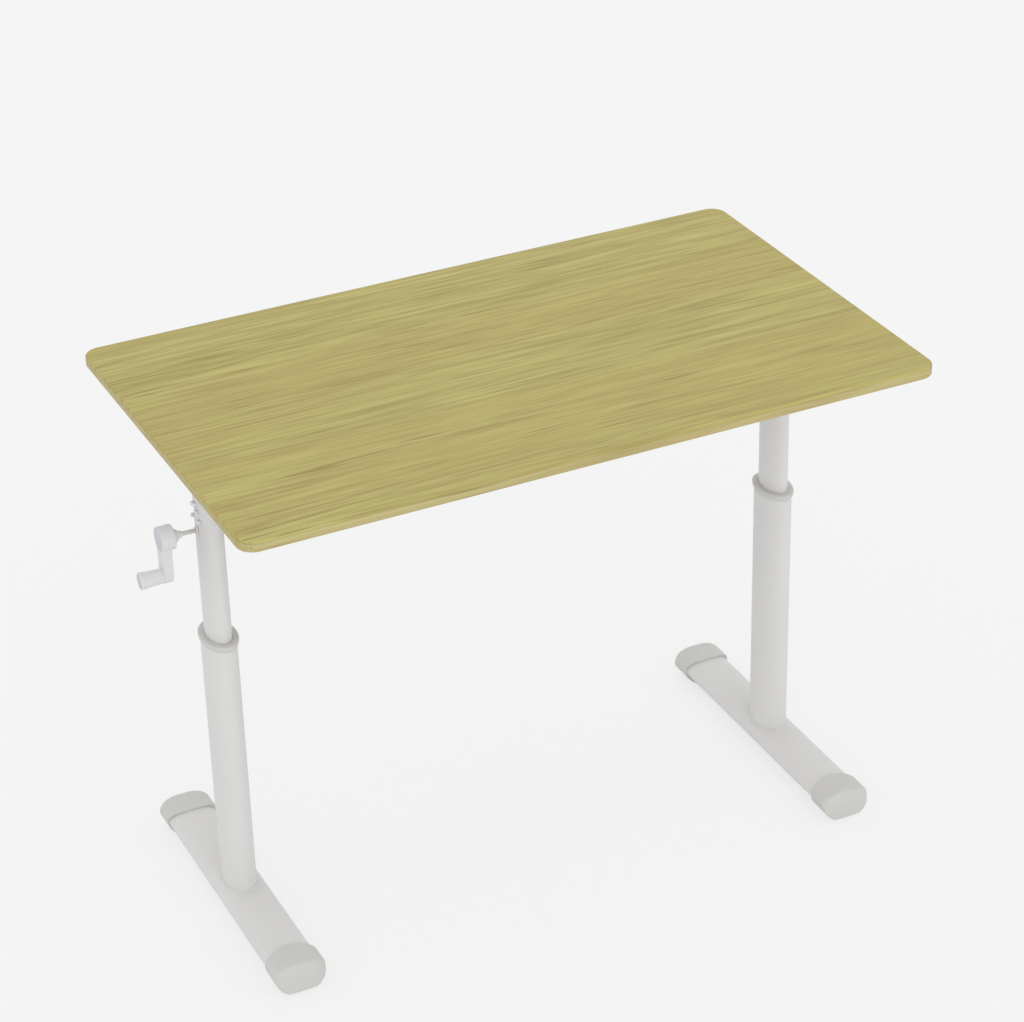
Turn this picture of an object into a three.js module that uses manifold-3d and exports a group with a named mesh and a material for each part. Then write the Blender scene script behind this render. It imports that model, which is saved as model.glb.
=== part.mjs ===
// Height-adjustable desk, raised by a side crank.
// Two oval telescopic legs stand on flat oval feet. A hex shaft runs across both legs, and in each
// leg a pair of bevel gears turns an upright lead screw, whose nut sits on a tube in the foot.
// Millimetres, +Z up, floor at z = 0. X runs along the desk's width, Y from front (-) to back (+).

import * as THREE from 'three';
import { mergeVertices } from 'three/addons/utils/BufferGeometryUtils.js';
import Module from 'manifold-3d';

const wasm = await Module();
wasm.setup();

// Driving dimensions

const DESK_WIDTH = 1000;
const DESK_DEPTH = 600;
const DESK_HEIGHT = 768;
const TOP_THICKNESS = 16;
const TOP_CORNER = 24;
const TOP_EDGE = 2.5;

const LEG_X = 434; // from the middle of the top to each leg
const LEG_Y = 13; // the legs stand slightly behind the middle
const GAP = 0.3; // clearance between pieces that touch

const FOOT_HALF_WIDTH = 35;
const FOOT_HALF_HEIGHT = 18;
const FOOT_WALL = 2;
const FOOT_MIDDLE_Z = 26;
const FOOT_TUBE_HALF = 208;

const CAP_SEAM = 192; // from the leg to the edge of the end cap, at its sides
const CAP_SEAM_BOW = 10;
const CAP_HALF_WIDTH = 38.6;
const CAP_WIDEST_Z = 30;
const CAP_TOP_Z = 47.2;
const CAP_SOLE_HALF_WIDTH = 21;
const CAP_SOLE_Z = 4;
const CAP_END = 235; // the nose, from the leg

const GLIDE_AT = 201;
const GLIDE_RADIUS = 13;
const GLIDE_THICKNESS = 3.4;
const STUD_RADIUS = 4;
const STUD_TOP_Z = 25;

const OUTER_X = 22.75; // half width and half depth of the outer column
const OUTER_Y = 38;
const INNER_X = 17; // the same of the inner column
const INNER_Y = 30;
const COLUMN_WALL = 1.6;
const OUTER_COLUMN_TOP = 447;
const INNER_COLUMN_BOTTOM = 203;

const COLLAR_LIP = 3;
const COLLAR_BOTTOM = 441;
const COLLAR_TOP = 450.5;
const COLLAR_SPIGOT = 405;

const BASE_PLATE_Z = 44.4;
const BASE_PLATE_THICKNESS = 6;
const FOOT_BOLT_AT = 22;
const FOOT_BOLT_RADIUS = 4;

const SHAFT_Z = 617; // height of the hex cross shaft
const HEX_FLATS = 6;
const SCREW_RADIUS = 6;
const SCREW_BOTTOM = 205;
const SCREW_SHOULDER = 589.4;
const SCREW_TUBE_RADIUS = 11;
const SCREW_TUBE_BORE = 9;
const SCREW_TUBE_TOP = 400;

const GEAR_TEETH = 14;
const GEAR_MODULE = 1.25;
const GEAR_FACE = 4.2;
const GEAR_PRESSURE_ANGLE = THREE.MathUtils.degToRad(20);
const GEAR_BACKLASH = 0.3;
const GEAR_POCKET = 10.3;
const GEAR_PITCH = (GEAR_TEETH * GEAR_MODULE) / 2; // the pitch radius, and the apex distance too
const GEAR_BACK = GEAR_PITCH + 2.2;
const GEAR_HUB = GEAR_PITCH + 3.4;
const GEAR_HUB_RADIUS = 5.6;

const GEARBOX_BOTTOM = 590;
const GEARBOX_TOP = 668;

const ARM_WIDTH = 46;
const ARM_HALF_LENGTH = 245;
const ARM_DEPTH = 22;
const ARM_TIP_DEPTH = 9.7;
const ARM_STRAIGHT = 105;
const SHEET = 2;
const HEAD_PLATE_WIDTH = 41;
const HEAD_PLATE_LENGTH = 112;
const HEAD_PLATE_THICKNESS = 3;
const HEAD_BOLT_X = 10;
const HEAD_BOLT_Y = 42;

const BEAM_WIDTH = 40;
const BEAM_HEIGHT = 19;
const BEAM_WALL = 1.5;
const BEAM_AT = 66;
const BEAM_PLATE_WIDTH = 64;
const BEAM_PLATE_THICKNESS = 3;
const BEAM_BOLT_AT = 26;

const CRANK_THROW = 55.5; // from the shaft's axis to the grip's axis
const CRANK_OUTER_X = -504;
const CRANK_INNER_X = -488.3;
const CRANK_ARM_THICKNESS = 11.5;
const CRANK_HEAD_RADIUS = 16.6;
const CRANK_ARM_TOP_RADIUS = 12.6;
const CRANK_ARM_END_RADIUS = 10.6;
const GRIP_INNER_RADIUS = 8.9;
const GRIP_OUTER_RADIUS = 12;
const GRIP_END_X = -534;
const GRIP_CAP_END_X = -537.5;
const PIN_RADIUS = 2.7;
const PIN_HEAD_X = -527.3;
const FACE_CAP_RADIUS = 14.9;
const HUB_START_X = CRANK_INNER_X + GAP;
const GRIP_START_X = CRANK_OUTER_X - 0.4;

const OVAL_SEGMENTS = 24;
const ROUND_SEGMENTS = 16;
const SMALL_SEGMENTS = 10;

const TOP_UNDERSIDE = DESK_HEIGHT - TOP_THICKNESS;
const HEX_RADIUS = HEX_FLATS / Math.sqrt(3);
const ORIGIN_SHIFT = -(GRIP_CAP_END_X + DESK_WIDTH / 2) / 2; // centres the overall width on x = 0

// Finishes

const finish = (color, roughness, metalness) =>
  new THREE.MeshStandardMaterial({ color, roughness, metalness });

const FINISH = {
  worktop: () => finish(0xbcb072, 0.5, 0),
  paint: () => finish(0xe6e5e0, 0.5, 0.1),
  trim: () => finish(0xcfd0c9, 0.6, 0),
  crank: () => finish(0xe2e1dd, 0.5, 0),
  crankCap: () => finish(0xc9d0d6, 0.45, 0),
  steel: () => finish(0x9c9a94, 0.35, 1),
  bushNylon: () => finish(0xbfc0bd, 0.5, 0),
  nylon: () => finish(0xe8e4d8, 0.55, 0),
  zinc: () => finish(0xa9abad, 0.45, 1),
  rubber: () => finish(0x55554f, 0.85, 0),
};

// Geometry helpers

/** Turns every face outwards when the closed surface is inside out. */
function outward(geometry) {
  const at = geometry.getAttribute('position');
  const index = geometry.getIndex().array;
  const [a, b, c] = [new THREE.Vector3(), new THREE.Vector3(), new THREE.Vector3()];
  let volume = 0;
  for (let i = 0; i < index.length; i += 3) {
    a.fromBufferAttribute(at, index[i]);
    b.fromBufferAttribute(at, index[i + 1]);
    c.fromBufferAttribute(at, index[i + 2]);
    volume += a.dot(b.cross(c));
  }
  if (volume < 0) {
    for (let i = 0; i < index.length; i += 3) {
      [index[i + 1], index[i + 2]] = [index[i + 2], index[i + 1]];
    }
  }
  return geometry;
}

/** Skins rings of equal point counts, either into a closed loop of rings or with flat ends. */
function skin(rings, { loop = false } = {}) {
  const count = rings[0].length;
  const points = rings.flat();
  const faces = [];
  const last = loop ? rings.length : rings.length - 1;
  for (let r = 0; r < last; r++) {
    const near = r * count;
    const far = ((r + 1) % rings.length) * count;
    for (let i = 0; i < count; i++) {
      const j = (i + 1) % count;
      faces.push(near + i, near + j, far + j, near + i, far + j, far + i);
    }
  }
  if (!loop) {
    faces.push(...flatEnd(points.slice(0, count), -1));
    const end = points.length - count;
    faces.push(...flatEnd(points.slice(end), 1).map((i) => end + i));
  }
  const geometry = new THREE.BufferGeometry();
  const flatPoints = points.flatMap((p) => [p.x, p.y, p.z]);
  geometry.setAttribute('position', new THREE.Float32BufferAttribute(flatPoints, 3));
  geometry.setIndex(faces);
  return outward(geometry);
}

/** The triangles of a flat ring, wound with the ring (1) or against it (-1). */
function flatEnd(ring, winding) {
  const size = new THREE.Box3().setFromPoints(ring).getSize(new THREE.Vector3());
  const thin = ['x', 'y', 'z'].sort((p, q) => size[p] - size[q])[0];
  const [u, v] = { x: ['y', 'z'], y: ['z', 'x'], z: ['x', 'y'] }[thin];
  const flat = ring.map((p) => new THREE.Vector2(p[u], p[v]));
  const wanted = winding * Math.sign(THREE.ShapeUtils.area(flat));
  return THREE.ShapeUtils.triangulateShape(flat, []).flatMap(([i, j, k]) => {
    const turns = Math.sign(THREE.ShapeUtils.area([flat[i], flat[j], flat[k]]));
    return turns === wanted ? [i, j, k] : [i, k, j];
  });
}

/** A level oval ring at height z. */
function ovalRing(halfX, halfY, z, segments = OVAL_SEGMENTS) {
  return Array.from({ length: segments }, (_, i) => {
    const angle = (i / segments) * 2 * Math.PI;
    return new THREE.Vector3(halfX * Math.cos(angle), halfY * Math.sin(angle), z);
  });
}

/** A closed oval ring body: its profile is a list of [half width, half depth, height]. */
const ovalBody = (profile, segments) =>
  skin(profile.map(([x, y, z]) => ovalRing(x, y, z, segments)), { loop: true });

/** A solid oval prism. */
const ovalPrism = (halfX, halfY, bottom, top, segments) =>
  skin([ovalRing(halfX, halfY, bottom, segments), ovalRing(halfX, halfY, top, segments)]);

/** A rod of any radial count along an axis, from one place on that axis to another. */
function rod(axis, radius, from, to, { x = 0, y = 0, z = 0, segments = SMALL_SEGMENTS } = {}) {
  const geometry = new THREE.CylinderGeometry(radius, radius, Math.abs(to - from), segments);
  if (axis === 'x') geometry.rotateZ(Math.PI / 2);
  if (axis === 'z') geometry.rotateX(Math.PI / 2);
  const middle = (from + to) / 2;
  const place = { x: [middle, y, z], y: [x, middle, z], z: [x, y, middle] }[axis];
  return geometry.translate(...place);
}

const hexRod = (flats, from, to, place) =>
  rod('x', flats / Math.sqrt(3), from, to, { ...place, segments: 6 });

const box = (width, depth, height, x, y, z) =>
  new THREE.BoxGeometry(width, depth, height).translate(x, y, z);

/** A closed solid of revolution about 'x' or 'z': its profile is a list of [radius, place]. */
function turned(axis, profile, { x = 0, y = 0, z = 0, segments = ROUND_SEGMENTS } = {}) {
  const points = profile.map(([radius, along]) => new THREE.Vector2(radius, along));
  const hollow = profile.every(([radius]) => radius > 0);
  if (hollow) points.push(points[0].clone());
  const geometry = new THREE.LatheGeometry(points, segments);
  if (axis === 'z') geometry.rotateX(Math.PI / 2);
  if (axis === 'x') geometry.rotateZ(-Math.PI / 2);
  return outward(geometry.translate(x, y, z));
}

// Cutting and joining

/** Makes a solid of a closed geometry, whose shared vertices are merged first. */
function solid(geometry) {
  const bare = geometry.clone();
  bare.deleteAttribute('normal');
  bare.deleteAttribute('uv');
  const merged = outward(mergeVertices(bare, 1e-4));
  const mesh = new wasm.Mesh({
    numProp: 3,
    vertProperties: new Float32Array(merged.getAttribute('position').array),
    triVerts: new Uint32Array(dropFlatFaces(merged)),
  });
  return new wasm.Manifold(mesh);
}

/** Leaves out the faces that have no area because two of their corners were merged. */
function dropFlatFaces(geometry) {
  const index = geometry.getIndex().array;
  const kept = [];
  for (let i = 0; i < index.length; i += 3) {
    const [a, b, c] = [index[i], index[i + 1], index[i + 2]];
    if (a !== b && b !== c && c !== a) kept.push(a, b, c);
  }
  return kept;
}

/** Gives a solid back as a geometry. */
function surface(manifold) {
  const mesh = manifold.getMesh();
  const geometry = new THREE.BufferGeometry();
  geometry.setAttribute('position', new THREE.Float32BufferAttribute(mesh.vertProperties, 3));
  geometry.setIndex([...mesh.triVerts]);
  return geometry;
}

/** Joins a geometry with the added ones, trims it to the kept one and cuts the removed ones out. */
function shape(base, { add = [], keep = null, remove = [] } = {}) {
  let result = solid(base);
  for (const piece of add) result = result.add(solid(piece));
  if (keep) result = result.intersect(solid(keep));
  for (const piece of remove) result = result.subtract(solid(piece));
  return surface(result);
}

/** Adds a named piece with its own finish to a group. */
function piece(group, name, geometry, makeFinish) {
  const mesh = new THREE.Mesh(geometry, makeFinish());
  mesh.name = name;
  geometry.computeVertexNormals();
  group.add(mesh);
  return mesh;
}

// Worktop

/** One outline of the rounded top, drawn in by an inset and raised to a height. */
function topOutline(inset, z, segments = 8) {
  const radius = TOP_CORNER - inset;
  const centreX = DESK_WIDTH / 2 - TOP_CORNER;
  const centreY = DESK_DEPTH / 2 - TOP_CORNER;
  const corners = [[1, 1], [-1, 1], [-1, -1], [1, -1]];
  return corners.flatMap(([sx, sy], corner) =>
    Array.from({ length: segments + 1 }, (_, i) => {
      const angle = (corner + i / segments) * (Math.PI / 2);
      const x = sx * centreX + radius * Math.cos(angle);
      return new THREE.Vector3(x, sy * centreY + radius * Math.sin(angle), z);
    }),
  );
}

/** The flat top, with its rim rounded over above and below. */
function worktop() {
  const rim = [0, 45, 90].map((degrees) => THREE.MathUtils.degToRad(degrees));
  const inset = (angle) => TOP_EDGE * (1 - Math.sin(angle));
  const rise = (angle) => TOP_EDGE * (1 - Math.cos(angle));
  const below = rim.map((a) => topOutline(inset(a), TOP_UNDERSIDE + rise(a)));
  const above = rim.map((a) => topOutline(inset(a), DESK_HEIGHT - rise(a)));
  return skin([...below, ...above.reverse()]);
}

// Foot: oval tube, sleeve caps, levelling glides and the bolts that hold the leg

/** An upright oval section of the foot at a place along it. */
function footSection(halfWidth, halfHeight, y) {
  return ovalRing(halfWidth, halfHeight, 0).map(
    (p) => new THREE.Vector3(p.x, y, FOOT_MIDDLE_Z + p.y),
  );
}

const footPrism = (halfWidth, halfHeight, from, to) =>
  skin([footSection(halfWidth, halfHeight, from), footSection(halfWidth, halfHeight, to)]);

function footTube() {
  const ends = [-1, 1];
  const tubeFloor = FOOT_MIDDLE_Z - FOOT_HALF_HEIGHT;
  const outer = footPrism(FOOT_HALF_WIDTH, FOOT_HALF_HEIGHT, -FOOT_TUBE_HALF, FOOT_TUBE_HALF);
  const inner = footPrism(
    FOOT_HALF_WIDTH - FOOT_WALL,
    FOOT_HALF_HEIGHT - FOOT_WALL,
    -FOOT_TUBE_HALF - 1,
    FOOT_TUBE_HALF + 1,
  );
  const hollow = shape(outer, { remove: [inner] });
  const weldNuts = ends.map((end) =>
    rod('z', 6.5, tubeFloor + 1, tubeFloor + 14, { y: end * GLIDE_AT }));
  const studBores = ends.map((end) =>
    rod('z', STUD_RADIUS + 0.4, tubeFloor - 2, tubeFloor + 16, { y: end * GLIDE_AT }));
  const boltBores = ends.map((end) =>
    rod('z', FOOT_BOLT_RADIUS + 0.6, FOOT_MIDDLE_Z, FOOT_MIDDLE_Z + 20, { y: end * FOOT_BOLT_AT }));
  const toolHoles = ends.map((end) =>
    rod('z', 9, tubeFloor - 2, FOOT_MIDDLE_Z, { y: end * FOOT_BOLT_AT }));
  return shape(hollow, { add: weldNuts, remove: [...studBores, ...boltBores, ...toolHoles] });
}

/** The upright section of an end cap: a domed top, sides that curve in, and a flat sole. */
function capSection(along) {
  const dome = 14;
  const outline = Array.from({ length: dome + 1 }, (_, i) => {
    const angle = (i / dome) * Math.PI;
    const rise = (CAP_TOP_Z - CAP_WIDEST_Z) * Math.sin(angle);
    return [CAP_HALF_WIDTH * Math.cos(angle), CAP_WIDEST_Z + rise];
  });
  const side = new THREE.QuadraticBezierCurve(
    new THREE.Vector2(CAP_HALF_WIDTH, CAP_WIDEST_Z),
    new THREE.Vector2(CAP_HALF_WIDTH - 2, CAP_SOLE_Z + 8),
    new THREE.Vector2(CAP_SOLE_HALF_WIDTH, CAP_SOLE_Z),
  ).getPoints(5).slice(1);
  outline.push(...side.map((p) => [-p.x, p.y]));
  outline.push(...side.reverse().map((p) => [p.x, p.y]));
  return outline.map(([x, z]) => new THREE.Vector3(x, along(x), z));
}

/** A level outline of the nose: nearly straight across, and rounded off towards both sides. */
function noseOutline(end, rounding, z) {
  const halfWidth = CAP_HALF_WIDTH + 0.6;
  const steps = 14;
  const front = Array.from({ length: steps + 1 }, (_, i) => {
    const across = Math.cos((i / steps) * Math.PI);
    const drop = rounding * (1 - Math.sqrt(1 - Math.abs(across) ** 3));
    return new THREE.Vector3(halfWidth * across, end - drop, z);
  });
  const back = CAP_SEAM - 20;
  return [...front, new THREE.Vector3(-halfWidth, back, z), new THREE.Vector3(halfWidth, back, z)];
}

/** The cap is a sleeve over the tube's end, with a blunt nose that rounds over on top. */
function footCap() {
  const seam = (x) => CAP_SEAM - CAP_SEAM_BOW * Math.max(0, 1 - (x / CAP_HALF_WIDTH) ** 2);
  const sleeve = skin([capSection(seam), capSection(() => CAP_END + 10)]);
  const nose = skin([
    noseOutline(CAP_END, 5.5, CAP_SOLE_Z - 1),
    noseOutline(CAP_END - 0.4, 8.5, 20),
    noseOutline(CAP_END - 1.6, 15, 34),
    noseOutline(CAP_END - 3.4, 20, 41),
    noseOutline(CAP_END - 6.4, 24, 45),
    noseOutline(CAP_END - 10, 26, CAP_TOP_Z + 0.2),
  ]);
  const socket = footPrism(
    FOOT_HALF_WIDTH + GAP,
    FOOT_HALF_HEIGHT + GAP,
    CAP_SEAM - CAP_SEAM_BOW - 1,
    FOOT_TUBE_HALF + GAP,
  );
  const studHole = rod('z', STUD_RADIUS + 1, 0, 12, { y: GLIDE_AT });
  return shape(sleeve, { keep: nose, remove: [socket, studHole] });
}

function glide() {
  return turned('z', [
    [0, 0],
    [GLIDE_RADIUS - 0.8, 0],
    [GLIDE_RADIUS, 0.8],
    [GLIDE_RADIUS, GLIDE_THICKNESS],
    [STUD_RADIUS, GLIDE_THICKNESS],
    [STUD_RADIUS, STUD_TOP_Z - 1],
    [STUD_RADIUS - 1, STUD_TOP_Z],
    [0, STUD_TOP_Z],
  ]);
}

function footBolt() {
  const headTop = FOOT_MIDDLE_Z + FOOT_HALF_HEIGHT - FOOT_WALL - 0.7;
  const profile = [
    [0, headTop - 4.6],
    [5.2, headTop - 4.6],
    [6.5, headTop - 3],
    [6.5, headTop],
    [FOOT_BOLT_RADIUS, headTop],
    [FOOT_BOLT_RADIUS, 57],
    [0, 58],
  ];
  const hexSocket = rod('z', 2.9, headTop - 6, headTop - 2.4, { segments: 6 });
  return shape(turned('z', profile, { segments: SMALL_SEGMENTS }), { remove: [hexSocket] });
}

// Legs

/** The outer column is cut to the crown of the foot and has a bolted plate welded inside. */
function outerColumn() {
  const bottom = FOOT_MIDDLE_Z;
  const innerX = OUTER_X - COLUMN_WALL;
  const innerY = OUTER_Y - COLUMN_WALL;
  const tube = ovalBody([
    [innerX, innerY, bottom],
    [OUTER_X, OUTER_Y, bottom],
    [OUTER_X, OUTER_Y, OUTER_COLUMN_TOP],
    [innerX, innerY, OUTER_COLUMN_TOP],
  ]);
  const plateTop = BASE_PLATE_Z + BASE_PLATE_THICKNESS;
  const plate = ovalPrism(innerX + 0.5, innerY + 0.5, BASE_PLATE_Z, plateTop);
  const crown = footPrism(
    FOOT_HALF_WIDTH + GAP,
    FOOT_HALF_HEIGHT + GAP,
    -OUTER_Y * 2,
    OUTER_Y * 2,
  );
  const boltHoles = [-1, 1].map((end) =>
    rod('z', FOOT_BOLT_RADIUS + 0.4, BASE_PLATE_Z - 3, plateTop + 3, { y: end * FOOT_BOLT_AT }));
  return shape(tube, { add: [plate], remove: [crown, ...boltHoles] });
}

/** The collar caps the outer column, wraps its rim and guides the inner column. */
function collar() {
  const rimX = OUTER_X + COLLAR_LIP;
  const rimY = OUTER_Y + COLLAR_LIP;
  const seatX = OUTER_X + GAP;
  const seatY = OUTER_Y + GAP;
  const guideX = INNER_X + 0.4;
  const guideY = INNER_Y + 0.4;
  const spigotX = OUTER_X - COLUMN_WALL - GAP;
  const spigotY = OUTER_Y - COLUMN_WALL - GAP;
  const ceiling = OUTER_COLUMN_TOP + GAP;
  return ovalBody([
    [seatX, seatY, COLLAR_BOTTOM],
    [rimX - 1.8, rimY - 1.8, COLLAR_BOTTOM],
    [rimX - 0.3, rimY - 0.3, COLLAR_BOTTOM + 4],
    [rimX, rimY, COLLAR_TOP - 3.2],
    [rimX, rimY, COLLAR_TOP - 1.6],
    [rimX - 0.5, rimY - 0.5, COLLAR_TOP - 0.5],
    [rimX - 1.6, rimY - 1.6, COLLAR_TOP],
    [guideX + 2, guideY + 2, COLLAR_TOP],
    [guideX + 1.3, guideY + 1.3, COLLAR_TOP - 0.8],
    [guideX + 1.3, guideY + 1.3, COLLAR_TOP - 1.8],
    [guideX, guideY, COLLAR_TOP - 1.8],
    [guideX, guideY, COLLAR_SPIGOT],
    [spigotX, spigotY, COLLAR_SPIGOT],
    [spigotX, spigotY, ceiling],
    [seatX, seatY, ceiling],
  ]);
}

/** The nylon bush on the inner column's lower end, which slides in the outer column. */
function slideBush() {
  const seatX = INNER_X + GAP;
  const seatY = INNER_Y + GAP;
  const slideX = OUTER_X - COLUMN_WALL - 0.35;
  const slideY = OUTER_Y - COLUMN_WALL - 0.35;
  const lipX = INNER_X - COLUMN_WALL + 0.2;
  const lipY = INNER_Y - COLUMN_WALL + 0.2;
  const bottom = INNER_COLUMN_BOTTOM - 7;
  const lipTop = INNER_COLUMN_BOTTOM - GAP;
  const top = INNER_COLUMN_BOTTOM + 33;
  return ovalBody([
    [lipX, lipY, bottom],
    [slideX - 1, slideY - 1, bottom],
    [slideX, slideY, bottom + 2],
    [slideX, slideY, top - 2],
    [slideX - 1, slideY - 1, top],
    [seatX, seatY, top],
    [seatX, seatY, lipTop],
    [lipX, lipY, lipTop],
  ]);
}

// The screws that hold the gearbox in the inner column: [along Y, height, head radius]
const GEARBOX_SCREWS = [
  [11, 633.5, 4],
  [-11, 634.5, 4],
  [0, 656.5, 5.4],
  [-6.8, 648.6, 3.4],
];
const GEARBOX_SCREW_RADIUS = 2.1;

/** How far out a column's wall stands at a place along Y. */
const wallX = (halfX, halfY, y) => halfX * Math.sqrt(1 - (y / halfY) ** 2);

/** The inner column carries a head plate on top and holds the gearbox at shaft height. */
function innerColumn(side) {
  const plateZ = TOP_UNDERSIDE - GAP - SHEET - GAP - HEAD_PLATE_THICKNESS / 2;
  const plateBottom = plateZ - HEAD_PLATE_THICKNESS / 2;
  const innerX = INNER_X - COLUMN_WALL;
  const innerY = INNER_Y - COLUMN_WALL;
  const tube = ovalBody([
    [innerX, innerY, INNER_COLUMN_BOTTOM],
    [INNER_X, INNER_Y, INNER_COLUMN_BOTTOM],
    [INNER_X, INNER_Y, plateBottom + 0.5],
    [innerX, innerY, plateBottom + 0.5],
  ]);
  const plate = box(HEAD_PLATE_WIDTH, HEAD_PLATE_LENGTH, HEAD_PLATE_THICKNESS, 0, 0, plateZ);
  const shaftHoles = shaftSides(side).map((s) =>
    rod('x', 4.9, s * (innerX - 3), s * (INNER_X + 3), { z: SHAFT_Z }));
  const screwHoles = GEARBOX_SCREWS.map(([y, z]) =>
    rod('x', GEARBOX_SCREW_RADIUS + 0.4, side * 8, side * (INNER_X + 3), { y, z }));
  const plateHoles = headBoltPlaces().map(([x, y]) =>
    rod('z', 3.4, plateBottom - 2, TOP_UNDERSIDE, { x, y }));
  return shape(tube, { add: [plate], remove: [...shaftHoles, ...screwHoles, ...plateHoles] });
}

/** The faces of a leg that the shaft goes through: both on the left leg, the inner on the right. */
const shaftSides = (side) => (side < 0 ? [-1, 1] : [-1]);

const headBoltPlaces = () =>
  [-1, 1].flatMap((sx) => [-1, 1].map((sy) => [sx * HEAD_BOLT_X, sy * HEAD_BOLT_Y]));

/** A flanged bush in a leg's wall, around the shaft. */
function shaftBush(face) {
  const profile = [
    [HEX_RADIUS + 0.35, INNER_X - 1.3],
    [4.6, INNER_X - 1.3],
    [4.6, INNER_X + GAP],
    [6.2, INNER_X + GAP],
    [6.2, INNER_X + 1.7],
    [5.6, INNER_X + 2.3],
    [HEX_RADIUS + 0.35, INNER_X + 2.3],
  ].map(([radius, along]) => [radius, face * along]);
  return turned('x', profile, { z: SHAFT_Z, segments: 12 });
}

/** A pan-head screw through the leg's wall: it starts at the face that its head rests on. */
function gearboxScrew(side, y, headRadius) {
  const face = wallX(INNER_X, INNER_Y, Math.abs(y) - headRadius * 0.6) + 0.35;
  const profile = [
    [0, face - 12],
    [GEARBOX_SCREW_RADIUS, face - 11],
    [GEARBOX_SCREW_RADIUS, face],
    [headRadius, face],
    [headRadius * 0.85, face + headRadius * 0.4],
    [0, face + headRadius * 0.62],
  ].map(([radius, along]) => [radius, side * along]);
  return turned('x', profile, { segments: 8 });
}

// Lifting mechanism

/** The tube that stands on the foot's plate and carries the nut. */
function screwTube() {
  const bottom = BASE_PLATE_Z + BASE_PLATE_THICKNESS + GAP;
  return turned('z', [
    [SCREW_TUBE_BORE, bottom],
    [15, bottom],
    [15, bottom + 3],
    [SCREW_TUBE_RADIUS, bottom + 5],
    [SCREW_TUBE_RADIUS, SCREW_TUBE_TOP],
    [SCREW_TUBE_BORE, SCREW_TUBE_TOP],
  ]);
}

function screwNut() {
  const flangeBottom = SCREW_TUBE_TOP + GAP;
  const bore = SCREW_RADIUS + 0.4;
  return turned('z', [
    [bore, SCREW_TUBE_TOP - 24],
    [SCREW_TUBE_BORE - GAP, SCREW_TUBE_TOP - 24],
    [SCREW_TUBE_BORE - GAP, flangeBottom],
    [SCREW_TUBE_RADIUS + 1, flangeBottom],
    [SCREW_TUBE_RADIUS + 1, flangeBottom + 5],
    [SCREW_TUBE_RADIUS, flangeBottom + 6],
    [bore, flangeBottom + 6],
  ]);
}

function leadScrew() {
  const gearSeat = SHAFT_Z - GEAR_HUB - GAP;
  const top = SHAFT_Z - GEAR_PITCH * 0.7;
  return turned('z', [
    [0, SCREW_BOTTOM],
    [SCREW_RADIUS - 1.5, SCREW_BOTTOM],
    [SCREW_RADIUS, SCREW_BOTTOM + 1.5],
    [SCREW_RADIUS, SCREW_SHOULDER],
    [4, SCREW_SHOULDER],
    [4, gearSeat],
    [3, gearSeat],
    [3, top],
    [0, top],
  ], { segments: 12 });
}

/** Tooth outline of a straight bevel gear on its back cone: [angle, height over the pitch cone]. */
function toothOutline() {
  const addendum = GEAR_MODULE * 0.9;
  const dedendum = GEAR_MODULE * 1.2;
  const pitchAngle = (2 * Math.PI) / GEAR_TEETH;
  const halfTooth = pitchAngle / 4 - GEAR_BACKLASH / (2 * GEAR_PITCH);
  const lean = (height) => (height * Math.tan(GEAR_PRESSURE_ANGLE)) / GEAR_PITCH;
  const tip = halfTooth - lean(addendum) - 0.01;
  const root = halfTooth + lean(dedendum) * 0.8;
  return Array.from({ length: GEAR_TEETH }, (_, tooth) => tooth * pitchAngle).flatMap((middle) => [
    [middle - root, -dedendum],
    [middle - tip, addendum],
    [middle + tip, addendum],
    [middle + root, -dedendum],
  ]);
}

/**
 * A mitre gear whose teeth run to an apex at the origin. Its axis is +Z, its body lies at
 * positive z, and its teeth are turned by the phase from the +X direction.
 */
function mitreGear(bore, phase) {
  const cone = Math.SQRT1_2; // sine and cosine of the 45 degree pitch cone
  const toe = 1 - (GEAR_FACE * cone) / GEAR_PITCH;
  const toothed = (scale) => toothOutline().map(([angle, height]) => {
    const radius = (GEAR_PITCH + height * cone) * scale;
    const along = (GEAR_PITCH - height * cone) * scale;
    const turn = angle + phase;
    return new THREE.Vector3(radius * Math.cos(turn), radius * Math.sin(turn), along);
  });
  const toothRing = skin([toothed(toe), toothed(1)]);
  const back = turned('z', [
    [0, GEAR_PITCH * toe + 0.5],
    [GEAR_PITCH * toe - 1.4, GEAR_PITCH * toe + 0.5],
    [GEAR_PITCH - 1.4, GEAR_PITCH + 0.5],
    [GEAR_PITCH - 1.4, GEAR_BACK],
    [GEAR_HUB_RADIUS, GEAR_BACK],
    [GEAR_HUB_RADIUS, GEAR_HUB],
    [0, GEAR_HUB],
  ], { segments: GEAR_TEETH });
  return shape(toothRing, { add: [back], remove: [bore] });
}

/** The gear on the shaft: its body lies on the +X side, with a tooth pointing down at rest. */
function shaftGear() {
  const bore = rod('z', (HEX_FLATS + 0.7) / Math.sqrt(3), 0, GEAR_HUB + 2, { segments: 6 });
  return mitreGear(bore.rotateZ(Math.PI / 6), 0).rotateY(Math.PI / 2).translate(0, 0, SHAFT_Z);
}

/** The gear on the screw: its body lies below, with a tooth space facing +X at rest. */
function screwGear() {
  const bore = rod('z', 3.35, 0, GEAR_HUB + 2, { segments: 12 });
  return mitreGear(bore, Math.PI / GEAR_TEETH).rotateX(Math.PI).translate(0, 0, SHAFT_Z);
}

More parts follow.
